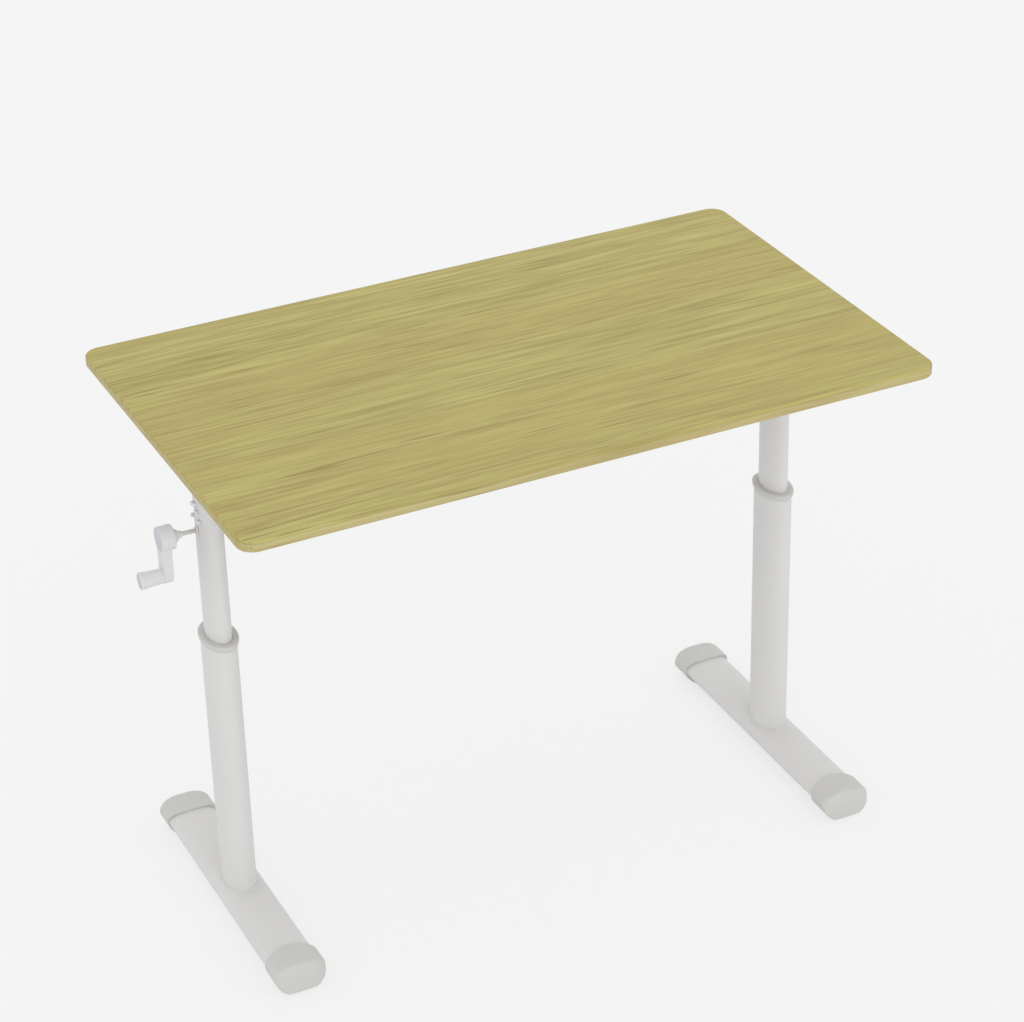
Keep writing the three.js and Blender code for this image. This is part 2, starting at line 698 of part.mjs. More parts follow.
/** One half of the gearbox block, split at the shaft, with pockets for both gears. */
function gearboxHalf(bottom, top, bores) {
  const wall = COLUMN_WALL + GAP;
  const block = ovalPrism(INNER_X - wall, INNER_Y - wall, bottom, top);
  const shaftBore = rod('x', HEX_RADIUS + 0.6, -INNER_X, INNER_X, { z: SHAFT_Z, segments: 20 });
  const shaftGearPocket = rod('x', GEAR_POCKET, 2.2, GEAR_HUB + 0.5, {
    z: SHAFT_Z,
    segments: ROUND_SEGMENTS,
  });
  return shape(block, { remove: [shaftBore, shaftGearPocket, ...bores] });
}

function gearboxBase() {
  const floor = SHAFT_Z - GEAR_HUB - 0.9;
  const screwGearPocket = rod('z', GEAR_POCKET, floor, SHAFT_Z + 1, { segments: ROUND_SEGMENTS });
  const journal = rod('z', 4.4, GEARBOX_BOTTOM - 1, floor + 1, { segments: 20 });
  return gearboxHalf(GEARBOX_BOTTOM, SHAFT_Z - GAP / 2, [screwGearPocket, journal]);
}

function gearboxCover(side) {
  const screwBores = GEARBOX_SCREWS.map(([y, z]) =>
    rod('x', GEARBOX_SCREW_RADIUS + 0.4, side * 3, side * INNER_X, { y, z }));
  return gearboxHalf(SHAFT_Z + GAP / 2, GEARBOX_TOP, screwBores);
}

// Frame under the top

/** A folded channel that lies across the desk, open below, with tips that taper. */
function supportArm(side) {
  const top = TOP_UNDERSIDE - GAP;
  const outline = new THREE.Shape([
    new THREE.Vector2(-ARM_HALF_LENGTH, top),
    new THREE.Vector2(-ARM_HALF_LENGTH, top - ARM_TIP_DEPTH),
    new THREE.Vector2(-ARM_STRAIGHT, top - ARM_DEPTH),
    new THREE.Vector2(ARM_STRAIGHT, top - ARM_DEPTH),
    new THREE.Vector2(ARM_HALF_LENGTH, top - ARM_TIP_DEPTH),
    new THREE.Vector2(ARM_HALF_LENGTH, top),
  ]);
  const bar = new THREE.ExtrudeGeometry(outline, { depth: ARM_WIDTH, bevelEnabled: false });
  bar.applyMatrix4(new THREE.Matrix4().makeBasis(
    new THREE.Vector3(0, 1, 0),
    new THREE.Vector3(0, 0, 1),
    new THREE.Vector3(1, 0, 0),
  )).translate(-ARM_WIDTH / 2, 0, 0);
  const channel = box(
    ARM_WIDTH - 2 * SHEET,
    ARM_HALF_LENGTH * 2 + 4,
    ARM_DEPTH,
    0,
    0,
    top - SHEET - ARM_DEPTH / 2,
  );
  const webHole = (radius, x, y) => rod('z', radius, top - 6, top + 2, { x, y });
  const headHoles = headBoltPlaces().map(([x, y]) => webHole(3.4, x, y));
  const topHoles = [-225, -150, 150, 225].map((y) => webHole(2.6, 0, y));
  const beamHoles = [-1, 1].flatMap((beam) => [-1, 1].map((end) =>
    rod('x', 3.4, -side * (ARM_WIDTH / 2 - 5), -side * (ARM_WIDTH / 2 + 2), {
      y: beam * BEAM_AT + end * BEAM_BOLT_AT,
      z: beamZ(),
    })));
  return shape(bar, { remove: [channel, ...headHoles, ...topHoles, ...beamHoles] });
}

const beamZ = () => TOP_UNDERSIDE - GAP - SHEET - GAP - BEAM_HEIGHT / 2;

/** A rectangular beam with a bolted plate at each end. */
function crossbeam() {
  const reach = LEG_X - ARM_WIDTH / 2 - GAP;
  const tubeReach = reach - BEAM_PLATE_THICKNESS / 2;
  const radius = 3;
  const section = (inset) => {
    const halfY = BEAM_WIDTH / 2 - inset;
    const halfZ = BEAM_HEIGHT / 2 - inset;
    const corner = Math.max(radius - inset, 0.5);
    const outline = new THREE.Shape();
    outline.moveTo(-halfY + corner, -halfZ);
    outline.lineTo(halfY - corner, -halfZ);
    outline.quadraticCurveTo(halfY, -halfZ, halfY, -halfZ + corner);
    outline.lineTo(halfY, halfZ - corner);
    outline.quadraticCurveTo(halfY, halfZ, halfY - corner, halfZ);
    outline.lineTo(-halfY + corner, halfZ);
    outline.quadraticCurveTo(-halfY, halfZ, -halfY, halfZ - corner);
    outline.lineTo(-halfY, -halfZ + corner);
    outline.quadraticCurveTo(-halfY, -halfZ, -halfY + corner, -halfZ);
    return outline;
  };
  const extruded = (inset, half) => {
    const bar = new THREE.ExtrudeGeometry(section(inset), {
      depth: half * 2,
      bevelEnabled: false,
      curveSegments: 3,
    });
    return bar.applyMatrix4(new THREE.Matrix4().makeBasis(
      new THREE.Vector3(0, 1, 0),
      new THREE.Vector3(0, 0, 1),
      new THREE.Vector3(1, 0, 0),
    )).translate(-half, 0, 0);
  };
  const tube = shape(extruded(0, tubeReach), { remove: [extruded(BEAM_WALL, tubeReach + 1)] });
  const plates = [-1, 1].map((end) =>
    box(BEAM_PLATE_THICKNESS, BEAM_PLATE_WIDTH, BEAM_HEIGHT,
      end * (reach - BEAM_PLATE_THICKNESS / 2), 0, 0));
  const holes = [-1, 1].flatMap((end) => [
    rod('x', 5, end * (reach - 6), end * (reach + 2)),
    ...[-1, 1].map((along) =>
      rod('x', 3.4, end * (reach - 6), end * (reach + 2), { y: along * BEAM_BOLT_AT })),
  ]);
  return shape(tube, { add: plates, remove: holes }).translate(0, 0, beamZ());
}

// Crank

/** The stepped hub on the shaft, between the leg and the crank's head. */
function crankHub() {
  const hub = turned('x', [
    [2.6, HUB_START_X],
    [14.6, HUB_START_X],
    [14.6, HUB_START_X + 1.8],
    [12.6, HUB_START_X + 4],
    [8.6, HUB_START_X + 5],
    [8.6, HUB_START_X + 9.5],
    [7.6, HUB_START_X + 10.6],
    [5.4, HUB_START_X + 11],
    [5.4, HUB_START_X + 14],
    [4.8, HUB_START_X + 15],
    [2.6, HUB_START_X + 15],
  ], { z: SHAFT_Z });
  const bore = hexRod(HEX_FLATS + 0.7, HUB_START_X - 2, HUB_START_X + 18, { z: SHAFT_Z });
  return shape(hub, { remove: [bore] });
}

/** The tapered outline of the arm, from its head down to the grip. */
function armOutline() {
  const grow = (CRANK_ARM_TOP_RADIUS - CRANK_ARM_END_RADIUS) / CRANK_THROW;
  const tangent = Math.asin(grow);
  const outline = new THREE.Shape();
  outline.absarc(0, 0, CRANK_ARM_TOP_RADIUS, -tangent, Math.PI + tangent, false);
  outline.absarc(0, -CRANK_THROW, CRANK_ARM_END_RADIUS, Math.PI + tangent, -tangent, false);
  return outline;
}

/** The moulded crank: a round head over the shaft and an arm that carries the grip. */
function crankArm() {
  const bevel = 1.2;
  const arm = new THREE.ExtrudeGeometry(armOutline(), {
    depth: CRANK_ARM_THICKNESS - 2 * bevel,
    bevelThickness: bevel,
    bevelSize: bevel,
    bevelOffset: -bevel,
    bevelSegments: 2,
    curveSegments: 9,
  });
  arm.applyMatrix4(new THREE.Matrix4().makeBasis(
    new THREE.Vector3(0, 1, 0),
    new THREE.Vector3(0, 0, 1),
    new THREE.Vector3(1, 0, 0),
  )).translate(CRANK_OUTER_X + bevel, 0, SHAFT_Z);
  const head = turned('x', [
    [0, CRANK_OUTER_X],
    [CRANK_HEAD_RADIUS - 0.8, CRANK_OUTER_X],
    [CRANK_HEAD_RADIUS, CRANK_OUTER_X + 0.8],
    [CRANK_HEAD_RADIUS, CRANK_INNER_X - 2.5],
    [CRANK_HEAD_RADIUS - 1.8, CRANK_INNER_X - 0.6],
    [CRANK_HEAD_RADIUS - 3.4, CRANK_INNER_X],
    [0, CRANK_INNER_X],
  ], { z: SHAFT_Z, segments: 24 });
  const socket = hexRod(HEX_FLATS + 0.7, CRANK_OUTER_X + 4.5, CRANK_INNER_X + 2, { z: SHAFT_Z });
  const recess = rod('x', FACE_CAP_RADIUS + GAP, CRANK_OUTER_X - 2, CRANK_OUTER_X + 1.4, {
    z: SHAFT_Z,
    segments: 24,
  });
  const pinHole = rod('x', PIN_RADIUS + 0.4, CRANK_OUTER_X - 2, CRANK_INNER_X, {
    z: SHAFT_Z - CRANK_THROW,
  });
  return shape(head, { add: [arm], remove: [socket, recess, pinHole] });
}

/** The slightly domed disc that closes the head. */
function faceCap() {
  const rim = CRANK_OUTER_X + 1.4 - GAP;
  return turned('x', [
    [0, rim],
    [FACE_CAP_RADIUS, rim],
    [FACE_CAP_RADIUS, CRANK_OUTER_X + 0.3],
    [FACE_CAP_RADIUS - 1, CRANK_OUTER_X - 0.1],
    [FACE_CAP_RADIUS * 0.55, CRANK_OUTER_X - 0.5],
    [0, CRANK_OUTER_X - 0.6],
  ], { z: SHAFT_Z, segments: 24 });
}

/** The grip turns on its pin and flares towards its outer end. */
function grip() {
  const bore = PIN_RADIUS + 0.4;
  return turned('x', [
    [bore, GRIP_START_X],
    [GRIP_INNER_RADIUS - 0.8, GRIP_START_X],
    [GRIP_INNER_RADIUS, GRIP_START_X - 0.9],
    [(GRIP_INNER_RADIUS + GRIP_OUTER_RADIUS) / 2 - 0.35, (GRIP_START_X + GRIP_END_X) / 2],
    [GRIP_OUTER_RADIUS, GRIP_END_X + 0.4],
    [GRIP_OUTER_RADIUS - 0.3, GRIP_END_X],
    [6.6, GRIP_END_X],
    [6.6, PIN_HEAD_X + 0.4],
    [bore, PIN_HEAD_X + 0.4],
  ], { z: SHAFT_Z - CRANK_THROW });
}

function gripPin() {
  return turned('x', [
    [0, PIN_HEAD_X - 3],
    [4.6, PIN_HEAD_X - 3],
    [5.6, PIN_HEAD_X - 2],
    [5.6, PIN_HEAD_X],
    [PIN_RADIUS, PIN_HEAD_X],
    [PIN_RADIUS, CRANK_OUTER_X + CRANK_ARM_THICKNESS - 0.6],
    [0, CRANK_OUTER_X + CRANK_ARM_THICKNESS - 0.2],
  ], { z: SHAFT_Z - CRANK_THROW, segments: SMALL_SEGMENTS });
}

function gripCap() {
  const plugRadius = 6.2;
  return turned('x', [
    [0, GRIP_CAP_END_X],
    [GRIP_OUTER_RADIUS - 2, GRIP_CAP_END_X + 0.2],
    [GRIP_OUTER_RADIUS - 0.5, GRIP_CAP_END_X + 1.2],
    [GRIP_OUTER_RADIUS - 0.2, GRIP_END_X - GAP],
    [plugRadius, GRIP_END_X - GAP],
    [plugRadius, GRIP_END_X + 3],
    [0, GRIP_END_X + 3],
  ], { z: SHAFT_Z - CRANK_THROW });
}

function crossShaft() {
  const start = CRANK_OUTER_X + 4.8;
  const end = LEG_X + GEAR_HUB + 0.3;
  return hexRod(HEX_FLATS, start, end, { z: SHAFT_Z });
}

// Assembly

const desk = new THREE.Group();
desk.position.x = ORIGIN_SHIFT;

piece(desk, 'desktop', worktop(), FINISH.worktop);

for (const [name, side] of [['left', -1], ['right', 1]]) {
  const leg = new THREE.Group();
  leg.position.set(side * LEG_X, LEG_Y, 0);
  desk.add(leg);

  piece(leg, `${name}_foot_tube`, footTube(), FINISH.paint);
  for (const [end, turn] of [['front', Math.PI], ['rear', 0]]) {
    const direction = turn ? -1 : 1;
    const cap = piece(leg, `${name}_${end}_foot_cap`, footCap(), FINISH.trim);
    cap.rotation.z = turn;
    const pad = piece(leg, `${name}_${end}_glide`, glide(), FINISH.rubber);
    pad.position.y = direction * GLIDE_AT;
    const bolt = piece(leg, `${name}_${end}_foot_bolt`, footBolt(), FINISH.steel);
    bolt.position.y = direction * FOOT_BOLT_AT;
  }
  piece(leg, `${name}_outer_column`, outerColumn(), FINISH.paint);
  piece(leg, `${name}_collar`, collar(), FINISH.trim);
  piece(leg, `${name}_screw_tube`, screwTube(), FINISH.zinc);
  piece(leg, `${name}_screw_nut`, screwNut(), FINISH.nylon);

  piece(leg, `${name}_inner_column`, innerColumn(side), FINISH.paint);
  piece(leg, `${name}_slide_bush`, slideBush(), FINISH.nylon);
  piece(leg, `${name}_gearbox_base`, gearboxBase(), FINISH.zinc);
  piece(leg, `${name}_gearbox_cover`, gearboxCover(side), FINISH.zinc);
  piece(leg, `${name}_lead_screw`, leadScrew(), FINISH.steel);
  piece(leg, `${name}_screw_gear`, screwGear(), FINISH.steel);
  piece(leg, `${name}_shaft_gear`, shaftGear(), FINISH.steel);
  piece(leg, `${name}_support_arm`, supportArm(side), FINISH.paint);
  GEARBOX_SCREWS.forEach(([y, z, headRadius], i) => {
    const geometry = gearboxScrew(side, y, headRadius);
    const screw = piece(leg, `${name}_gearbox_screw_${i + 1}`, geometry, FINISH.zinc);
    screw.position.set(0, y, z);
  });
  for (const face of shaftSides(side)) {
    const where = face === side ? 'outer' : 'inner';
    piece(leg, `${name}_${where}_shaft_bush`, shaftBush(face), FINISH.bushNylon);
  }
}

for (const [name, side] of [['front', -1], ['rear', 1]]) {
  const beam = piece(desk, `${name}_crossbeam`, crossbeam(), FINISH.paint);
  beam.position.y = LEG_Y + side * BEAM_AT;
}

const crank = new THREE.Group();
crank.position.y = LEG_Y;
desk.add(crank);
piece(crank, 'cross_shaft', crossShaft(), FINISH.steel);
piece(crank, 'crank_hub', crankHub(), FINISH.crank);
piece(crank, 'crank_arm', crankArm(), FINISH.crank);
piece(crank, 'crank_face_cap', faceCap(), FINISH.crankCap);
piece(crank, 'grip_pin', gripPin(), FINISH.steel);
piece(crank, 'crank_grip', grip(), FINISH.crank);
piece(crank, 'grip_end_cap', gripCap(), FINISH.crankCap);

const group = new THREE.Group();
group.add(desk);
group.updateMatrixWorld(true);

export default group;
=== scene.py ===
"""The looks of a height-adjustable desk with a side crank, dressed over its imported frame.

Sizes are in millimetres in the classes and in metres in every finished mesh. X runs along the
desk's width with the crank at -X, Y from front to back, and Z up from the floor.
"""

import logging
import math
from collections.abc import Iterable, Sequence
from dataclasses import dataclass
from enum import Enum
from typing import ClassVar

import bmesh
import bpy
from mathutils import Matrix, Vector


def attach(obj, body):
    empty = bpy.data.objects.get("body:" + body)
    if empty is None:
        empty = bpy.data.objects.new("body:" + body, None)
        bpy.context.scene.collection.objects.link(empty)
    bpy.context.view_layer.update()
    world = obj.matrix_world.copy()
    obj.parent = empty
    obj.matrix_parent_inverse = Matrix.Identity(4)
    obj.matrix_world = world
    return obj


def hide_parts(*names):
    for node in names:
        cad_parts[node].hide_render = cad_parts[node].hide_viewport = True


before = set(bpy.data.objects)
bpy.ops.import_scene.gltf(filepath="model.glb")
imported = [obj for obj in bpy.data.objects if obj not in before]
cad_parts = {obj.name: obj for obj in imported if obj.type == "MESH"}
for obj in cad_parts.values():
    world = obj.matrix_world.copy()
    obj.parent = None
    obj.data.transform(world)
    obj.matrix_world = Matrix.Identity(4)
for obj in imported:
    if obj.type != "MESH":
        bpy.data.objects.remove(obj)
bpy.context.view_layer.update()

MM = 0.001
SHIFT = 18.75  # the middle of the top lies this far along X from the frame's origin
LEG_X = 434.0
LEG_Y = 13.0
SHAFT_Z = 617.0
TOP_Z = 768.0
UNDERSIDE_Z = 752.0
GAP = 0.3  # what is left between two pieces that touch
SEAT = 0.05  # how far a screw's head stands off what it holds
HEAD_PLATE_THICKNESS = 3.0
HEX_FLATS = 6.0

log = logging.getLogger("desk")

Ring = list[Vector]
Profile = Sequence[tuple[float, float]]


class Side(Enum):
    """The two legs, by the side of the desk that they stand on."""

    LEFT = -1
    RIGHT = 1

    @property
    def label(self) -> str:
        """The word that starts the names of this leg's pieces."""
        return self.name.lower()

    @property
    def middle(self) -> Vector:
        """The point on the floor under the leg's middle, in millimetres."""
        return Vector((self.value * LEG_X + SHIFT, LEG_Y, 0))


class End(Enum):
    """The two ends of a foot."""

    FRONT = -1
    REAR = 1

    @property
    def label(self) -> str:
        """The word that names this end's pieces."""
        return self.name.lower()


class Axis(Enum):
    """The axis that a turned form is made about."""

    X = "x"
    Z = "z"


# Node trees


class Socket:
    """An output socket that takes arithmetic: each expression adds its Math nodes."""

    def __init__(self, board: "Board", socket: bpy.types.NodeSocket) -> None:
        """Wraps a socket of the board's tree."""
        self.board = board
        self.socket = socket

    def _math(self, operation: str, *values: "Socket | float") -> "Socket":
        """Adds one Math node over the values."""
        inputs = dict(enumerate(values))
        made = self.board.out("ShaderNodeMath", inputs, {"operation": operation})
        return Socket(self.board, made)

    def __add__(self, other: "Socket | float") -> "Socket":
        """Sum."""
        return self._math("ADD", self, other)

    __radd__ = __add__

    def __sub__(self, other: "Socket | float") -> "Socket":
        """Difference."""
        return self._math("SUBTRACT", self, other)

    def __rsub__(self, other: "Socket | float") -> "Socket":
        """Difference, from a number."""
        return self._math("SUBTRACT", other, self)

    def __mul__(self, other: "Socket | float") -> "Socket":
        """Product."""
        return self._math("MULTIPLY", self, other)

    __rmul__ = __mul__

    def spread(self, low: float, high: float) -> "Socket":
        """The value stretched from low..high to 0..1, eased and held within it.

        Args:
            low: the value that becomes nothing.
            high: the value that becomes one.

        Returns:
            The stretched value.
        """
        settings = {"interpolation_type": "SMOOTHSTEP", "clamp": True}
        inputs = {"Value": self, "From Min": low, "From Max": high}
        return Socket(self.board, self.board.out("ShaderNodeMapRange", inputs, settings))


class Board:
    """Adds nodes to one tree, of a material or of a geometry group."""

    def __init__(self, tree: bpy.types.NodeTree) -> None:
        """Takes the tree to build in."""
        self.tree = tree

    def node(
        self,
        kind: str,
        settings: dict[str, object] | None = None,
        inputs: dict[str | int, object] | None = None,
    ) -> bpy.types.Node:
        """Adds one node.

        Args:
            kind: the node's type.
            settings: what is set on the node itself, before its sockets.
            inputs: a value or a link for each socket, by its name or its place.

        Returns:
            The new node.
        """
        made = self.tree.nodes.new(kind)
        for key, value in (settings or {}).items():
            setattr(made, key, value)
        for key, value in (inputs or {}).items():
            socket = value.socket if isinstance(value, Socket) else value
            if isinstance(socket, bpy.types.NodeSocket):
                self.tree.links.new(socket, made.inputs[key])
            else:
                made.inputs[key].default_value = value
        return made

    def out(
        self,
        kind: str,
        inputs: dict[str | int, object] | None = None,
        settings: dict[str, object] | None = None,
    ) -> bpy.types.NodeSocket:
        """Adds one node and gives its first output."""
        return self.node(kind, settings, inputs).outputs[0]

    def coordinates(self, scale: tuple[float, float, float]) -> bpy.types.NodeSocket:
        """Object coordinates, in metres, stretched along each axis."""
        place = self.node("ShaderNodeTexCoord").outputs["Object"]
        mapped = self.node("ShaderNodeMapping", None, {"Vector": place, "Scale": scale})
        return mapped.outputs["Vector"]

    def noise(self, scale: tuple[float, float, float], detail: float) -> Socket:
        """A noise of about 0.5.

        Args:
            scale: how many of its cells a metre holds along each axis.
            detail: how many finer layers it has.

        Returns:
            The noise's value.
        """
        inputs = {
            "Vector": self.coordinates(scale),
            "Scale": 1.0,
            "Detail": detail,
            "Roughness": 0.5,
        }
        return Socket(self, self.out("ShaderNodeTexNoise", inputs, {"noise_dimensions": "3D"}))

    def blend(self, factor: Socket | float, low: object, high: object) -> bpy.types.NodeSocket:
        """Mixes two colours, which are links or values."""
        settings = {"data_type": "RGBA", "clamp_factor": True}
        made = self.node("ShaderNodeMix", settings, {0: factor, 6: low, 7: high})
        return made.outputs[2]

    def bump(self, height: Socket, depth: float, strength: float) -> bpy.types.NodeSocket:
        """A normal that stands the height out by a depth in metres."""
        inputs = {"Height": height, "Distance": depth, "Strength": strength}
        return self.node("ShaderNodeBump", None, inputs).outputs["Normal"]


def linear(red: int, green: int, blue: int) -> tuple[float, float, float, float]:
    """A colour as it is seen on a screen, 0 to 255, in linear light.

    Args:
        red: the red part.
        green: the green part.
        blue: the blue part.

    Returns:
        The linear colour, opaque.
    """

    def one(part: int) -> float:
        """One part of the colour."""
        share = part / 255
        return share / 12.92 if share <= 0.04045 else ((share + 0.055) / 1.055) ** 2.4

    return (one(red), one(green), one(blue), 1.0)


def blank(owner: bpy.types.Material | bpy.types.World) -> Board:
    """Empties the node tree of a material or a world, to build in."""
    owner.use_nodes = True
    owner.node_tree.nodes.clear()
    return Board(owner.node_tree)


def place(name: str, data: bpy.types.ID) -> bpy.types.Object:
    """Puts a new object with the data into the scene."""
    made = bpy.data.objects.new(name, data)
    bpy.context.scene.collection.objects.link(made)
    return made


# Finishes

MADE: dict[str, bpy.types.Material] = {}


@dataclass(frozen=True)
class Finish:
    """A surface finish: its name, its colour and how rough it is."""

    name: str
    colour: tuple[int, int, int]
    roughness: float = 0.5

    def material(self) -> bpy.types.Material:
        """The material of this finish, which is built the first time."""
        if self.name not in MADE:
            made = bpy.data.materials.new(self.name)
            board = blank(made)
            shader = self.shade(board)
            board.node("ShaderNodeOutputMaterial", None, {"Surface": shader.outputs[0]})
            MADE[self.name] = made
        return MADE[self.name]

    def shade(self, board: Board) -> bpy.types.Node:
        """Adds the finish's own nodes and gives its shader."""
        raise NotImplementedError

    def base(self, share: float = 1.0) -> tuple[float, ...]:
        """The colour in linear light, darkened to a share of it."""
        return tuple(part * share for part in linear(*self.colour)[:3]) + (1.0,)


@dataclass(frozen=True)
class WoodFinish(Finish):
    """A straight-grained veneer: broad bands, streaks of all widths and dark lines along X."""

    pale: tuple[int, int, int] = (190, 181, 112)
    dark: tuple[int, int, int] = (158, 144, 84)
    line: tuple[int, int, int] = (122, 98, 44)

    def shade(self, board: Board) -> bpy.types.Node:
        """Bands, streaks and lines, each a noise that is stretched along the grain."""
        bands = board.noise((0.7, 10.0, 10.0), 2.0).spread(0.36, 0.64)
        broad = board.noise((4.5, 105.0, 105.0), 1.0)
        middle = board.noise((8.0, 220.0, 220.0), 1.0)
        fine = board.noise((12.0, 460.0, 460.0), 1.0)
        streaks = (broad * 0.32 + middle * 0.36 + fine * 0.32).spread(0.33, 0.67)
        lines = board.noise((7.5, 290.0, 290.0), 1.0).spread(0.61, 0.71)
        clusters = board.noise((1.1, 15.0, 15.0), 1.0).spread(0.42, 0.6)
        body = board.blend(streaks, linear(*self.pale), linear(*self.dark))
        warm = board.blend(bands * 0.45, body, self.base())
        lined = board.blend(lines * clusters * 0.5, warm, linear(*self.line))
        fibres = board.noise((9.0, 520.0, 520.0), 2.0)
        return board.node("ShaderNodeBsdfPrincipled", None, {
            "Base Color": lined,
            "Roughness": fibres * 0.14 + self.roughness,
            "Specular IOR Level": 0.25,
            "Normal": board.bump(fibres * 0.5 + streaks * 0.5, 0.00012, 0.5),
        })


@dataclass(frozen=True)
class PowderCoat(Finish):
    """A powder coat on steel, with its fine orange-peel texture and faint clouding."""

    def shade(self, board: Board) -> bpy.types.Node:
        """Orange peel in the bump, and a slow shift of the colour."""
        peel = board.noise((950.0, 950.0, 950.0), 2.0)
        cloud = board.noise((9.0, 9.0, 9.0), 2.0)
        return board.node("ShaderNodeBsdfPrincipled", None, {
            "Base Color": board.blend(cloud.spread(0.3, 0.7) * 0.35, self.base(), self.base(0.95)),
            "Roughness": peel * 0.1 + self.roughness,
            "Normal": board.bump(peel, 0.00006, 0.5),
        })


@dataclass(frozen=True)
class MouldedPlastic(Finish):
    """Moulded plastic with a fine spark texture."""

    texture: float = 1400.0
    depth: float = 0.00005

    def shade(self, board: Board) -> bpy.types.Node:
        """The spark texture, with a slight unevenness of colour and gloss."""
        spark = board.noise((self.texture,) * 3, 3.0)
        flow = board.noise((22.0, 22.0, 22.0), 1.0)
        return board.node("ShaderNodeBsdfPrincipled", None, {
            "Base Color": board.blend(flow.spread(0.3, 0.7) * 0.4, self.base(), self.base(0.93)),
            "Roughness": spark * 0.14 + self.roughness,
            "Normal": board.bump(spark, self.depth, 0.6),
        })


@dataclass(frozen=True)
class BareMetal(Finish):
    """Bare or plated metal, brushed along X or Z, or dull as cast."""

    brush: tuple[float, float, float] = (30.0, 900.0, 900.0)
    metallic: float = 1.0

    def shade(self, board: Board) -> bpy.types.Node:
        """Brush marks in the roughness and bump, and a slow shift of the colour."""
        marks = board.noise(self.brush, 2.0)
        cloud = board.noise((60.0, 60.0, 60.0), 2.0)
        return board.node("ShaderNodeBsdfPrincipled", None, {
            "Base Color": board.blend(cloud.spread(0.3, 0.7), self.base(), self.base(0.8)),
            "Metallic": self.metallic,
            "Roughness": marks * 0.16 + self.roughness,
            "Normal": board.bump(marks, 0.00004, 0.5),
        })


WOOD = WoodFinish("oak_foil", (180, 163, 97), 0.44)
WOOD_EDGE = WoodFinish("oak_edge", (184, 169, 117), 0.5, pale=(193, 183, 130), dark=(173, 158, 105))
WOOD_JOINT = WoodFinish("oak_joint", (158, 142, 86), 0.6, pale=(166, 151, 94), dark=(146, 129, 76))
BACKING = MouldedPlastic("backing_foil", (218, 216, 210), 0.55, texture=800.0, depth=0.00003)
PAINT = PowderCoat("white_powder_coat", (213, 212, 211), 0.42)
TRIM = MouldedPlastic("grey_moulding", (200, 199, 195), 0.5)
CRANK_PLASTIC = MouldedPlastic("crank_moulding", (217, 217, 217), 0.42)
CRANK_CAP = MouldedPlastic("crank_disc_moulding", (194, 197, 204), 0.4)
STEEL = BareMetal("drawn_steel", (216, 213, 205), 0.45, metallic=0.3)
SCREW_STEEL = BareMetal("turned_steel", (176, 174, 170), 0.28, brush=(900.0, 900.0, 40.0))
ZINC = BareMetal("zinc_plate", (226, 227, 228), 0.35, brush=(500.0, 500.0, 500.0), metallic=0.2)
CAST = BareMetal("cast_block", (160, 162, 164), 0.5, brush=(1200.0, 1200.0, 1200.0))
NYLON = MouldedPlastic("natural_nylon", (226, 221, 208), 0.45)
BUSH_NYLON = MouldedPlastic("grey_nylon", (214, 214, 213), 0.45)
RUBBER = MouldedPlastic("pad_rubber", (92, 91, 88), 0.8, texture=2200.0, depth=0.0001)


# Forms


def oval(half_x: float, half_y: float, z: float, count: int = 96) -> Ring:
    """A level oval ring.

    Args:
        half_x: half its width.
        half_y: half its depth.
        z: its height.
        count: how many points it has.

    Returns:
        The ring's points.
    """
    turns = [2 * math.pi * step / count for step in range(count)]
    return [Vector((half_x * math.cos(turn), half_y * math.sin(turn), z)) for turn in turns]


def soften(
    before: Vector, corner: Vector, after: Vector, radius: float, most: float, steps: int
) -> list[tuple[float, float]]:
    """One corner of an outline, rounded.

    Args:
        before: the outline's point before the corner.
        corner: the sharp corner.
        after: the point after it.
        radius: how far the rounding reaches along each side.
        most: the largest share of a side that it may take.
        steps: how many sides it has.

    Returns:
        The rounding's points.
    """
    back, ahead = before - corner, after - corner
    reach = min(radius, back.length * most, ahead.length * most)
    start = corner + back.normalized() * reach
    end = corner + ahead.normalized() * reach
    points = []
    for step in range(steps + 1):
        share = step / steps
        point = start * (1 - share) ** 2 + corner * 2 * share * (1 - share) + end * share**2
        points.append((point.x, point.y))
    return points


def rounded(half_x: float, half_y: float, radius: float) -> list[tuple[float, float]]:
    """A rectangle about the origin with rounded corners."""
    corners = [(-half_x, -half_y), (half_x, -half_y), (half_x, half_y), (-half_x, half_y)]
    sharp = [Vector(corner) for corner in corners]
    points: list[tuple[float, float]] = []
    for index, corner in enumerate(sharp):
        points += soften(sharp[index - 1], corner, sharp[(index + 1) % 4], radius, 0.45, 4)
    return points


def rim(profile: Profile) -> list[tuple[float, float]]:
    """A profile with its corners softened, for a form that starts and ends on its axis."""
    points = [Vector(point) for point in profile]
    soft: list[tuple[float, float]] = []
    for before, corner, after in zip(points, points[1:], points[2:]):
        soft += soften(before, corner, after, 0.5, 0.4, 3)
    return [profile[0], *soft, profile[-1]]


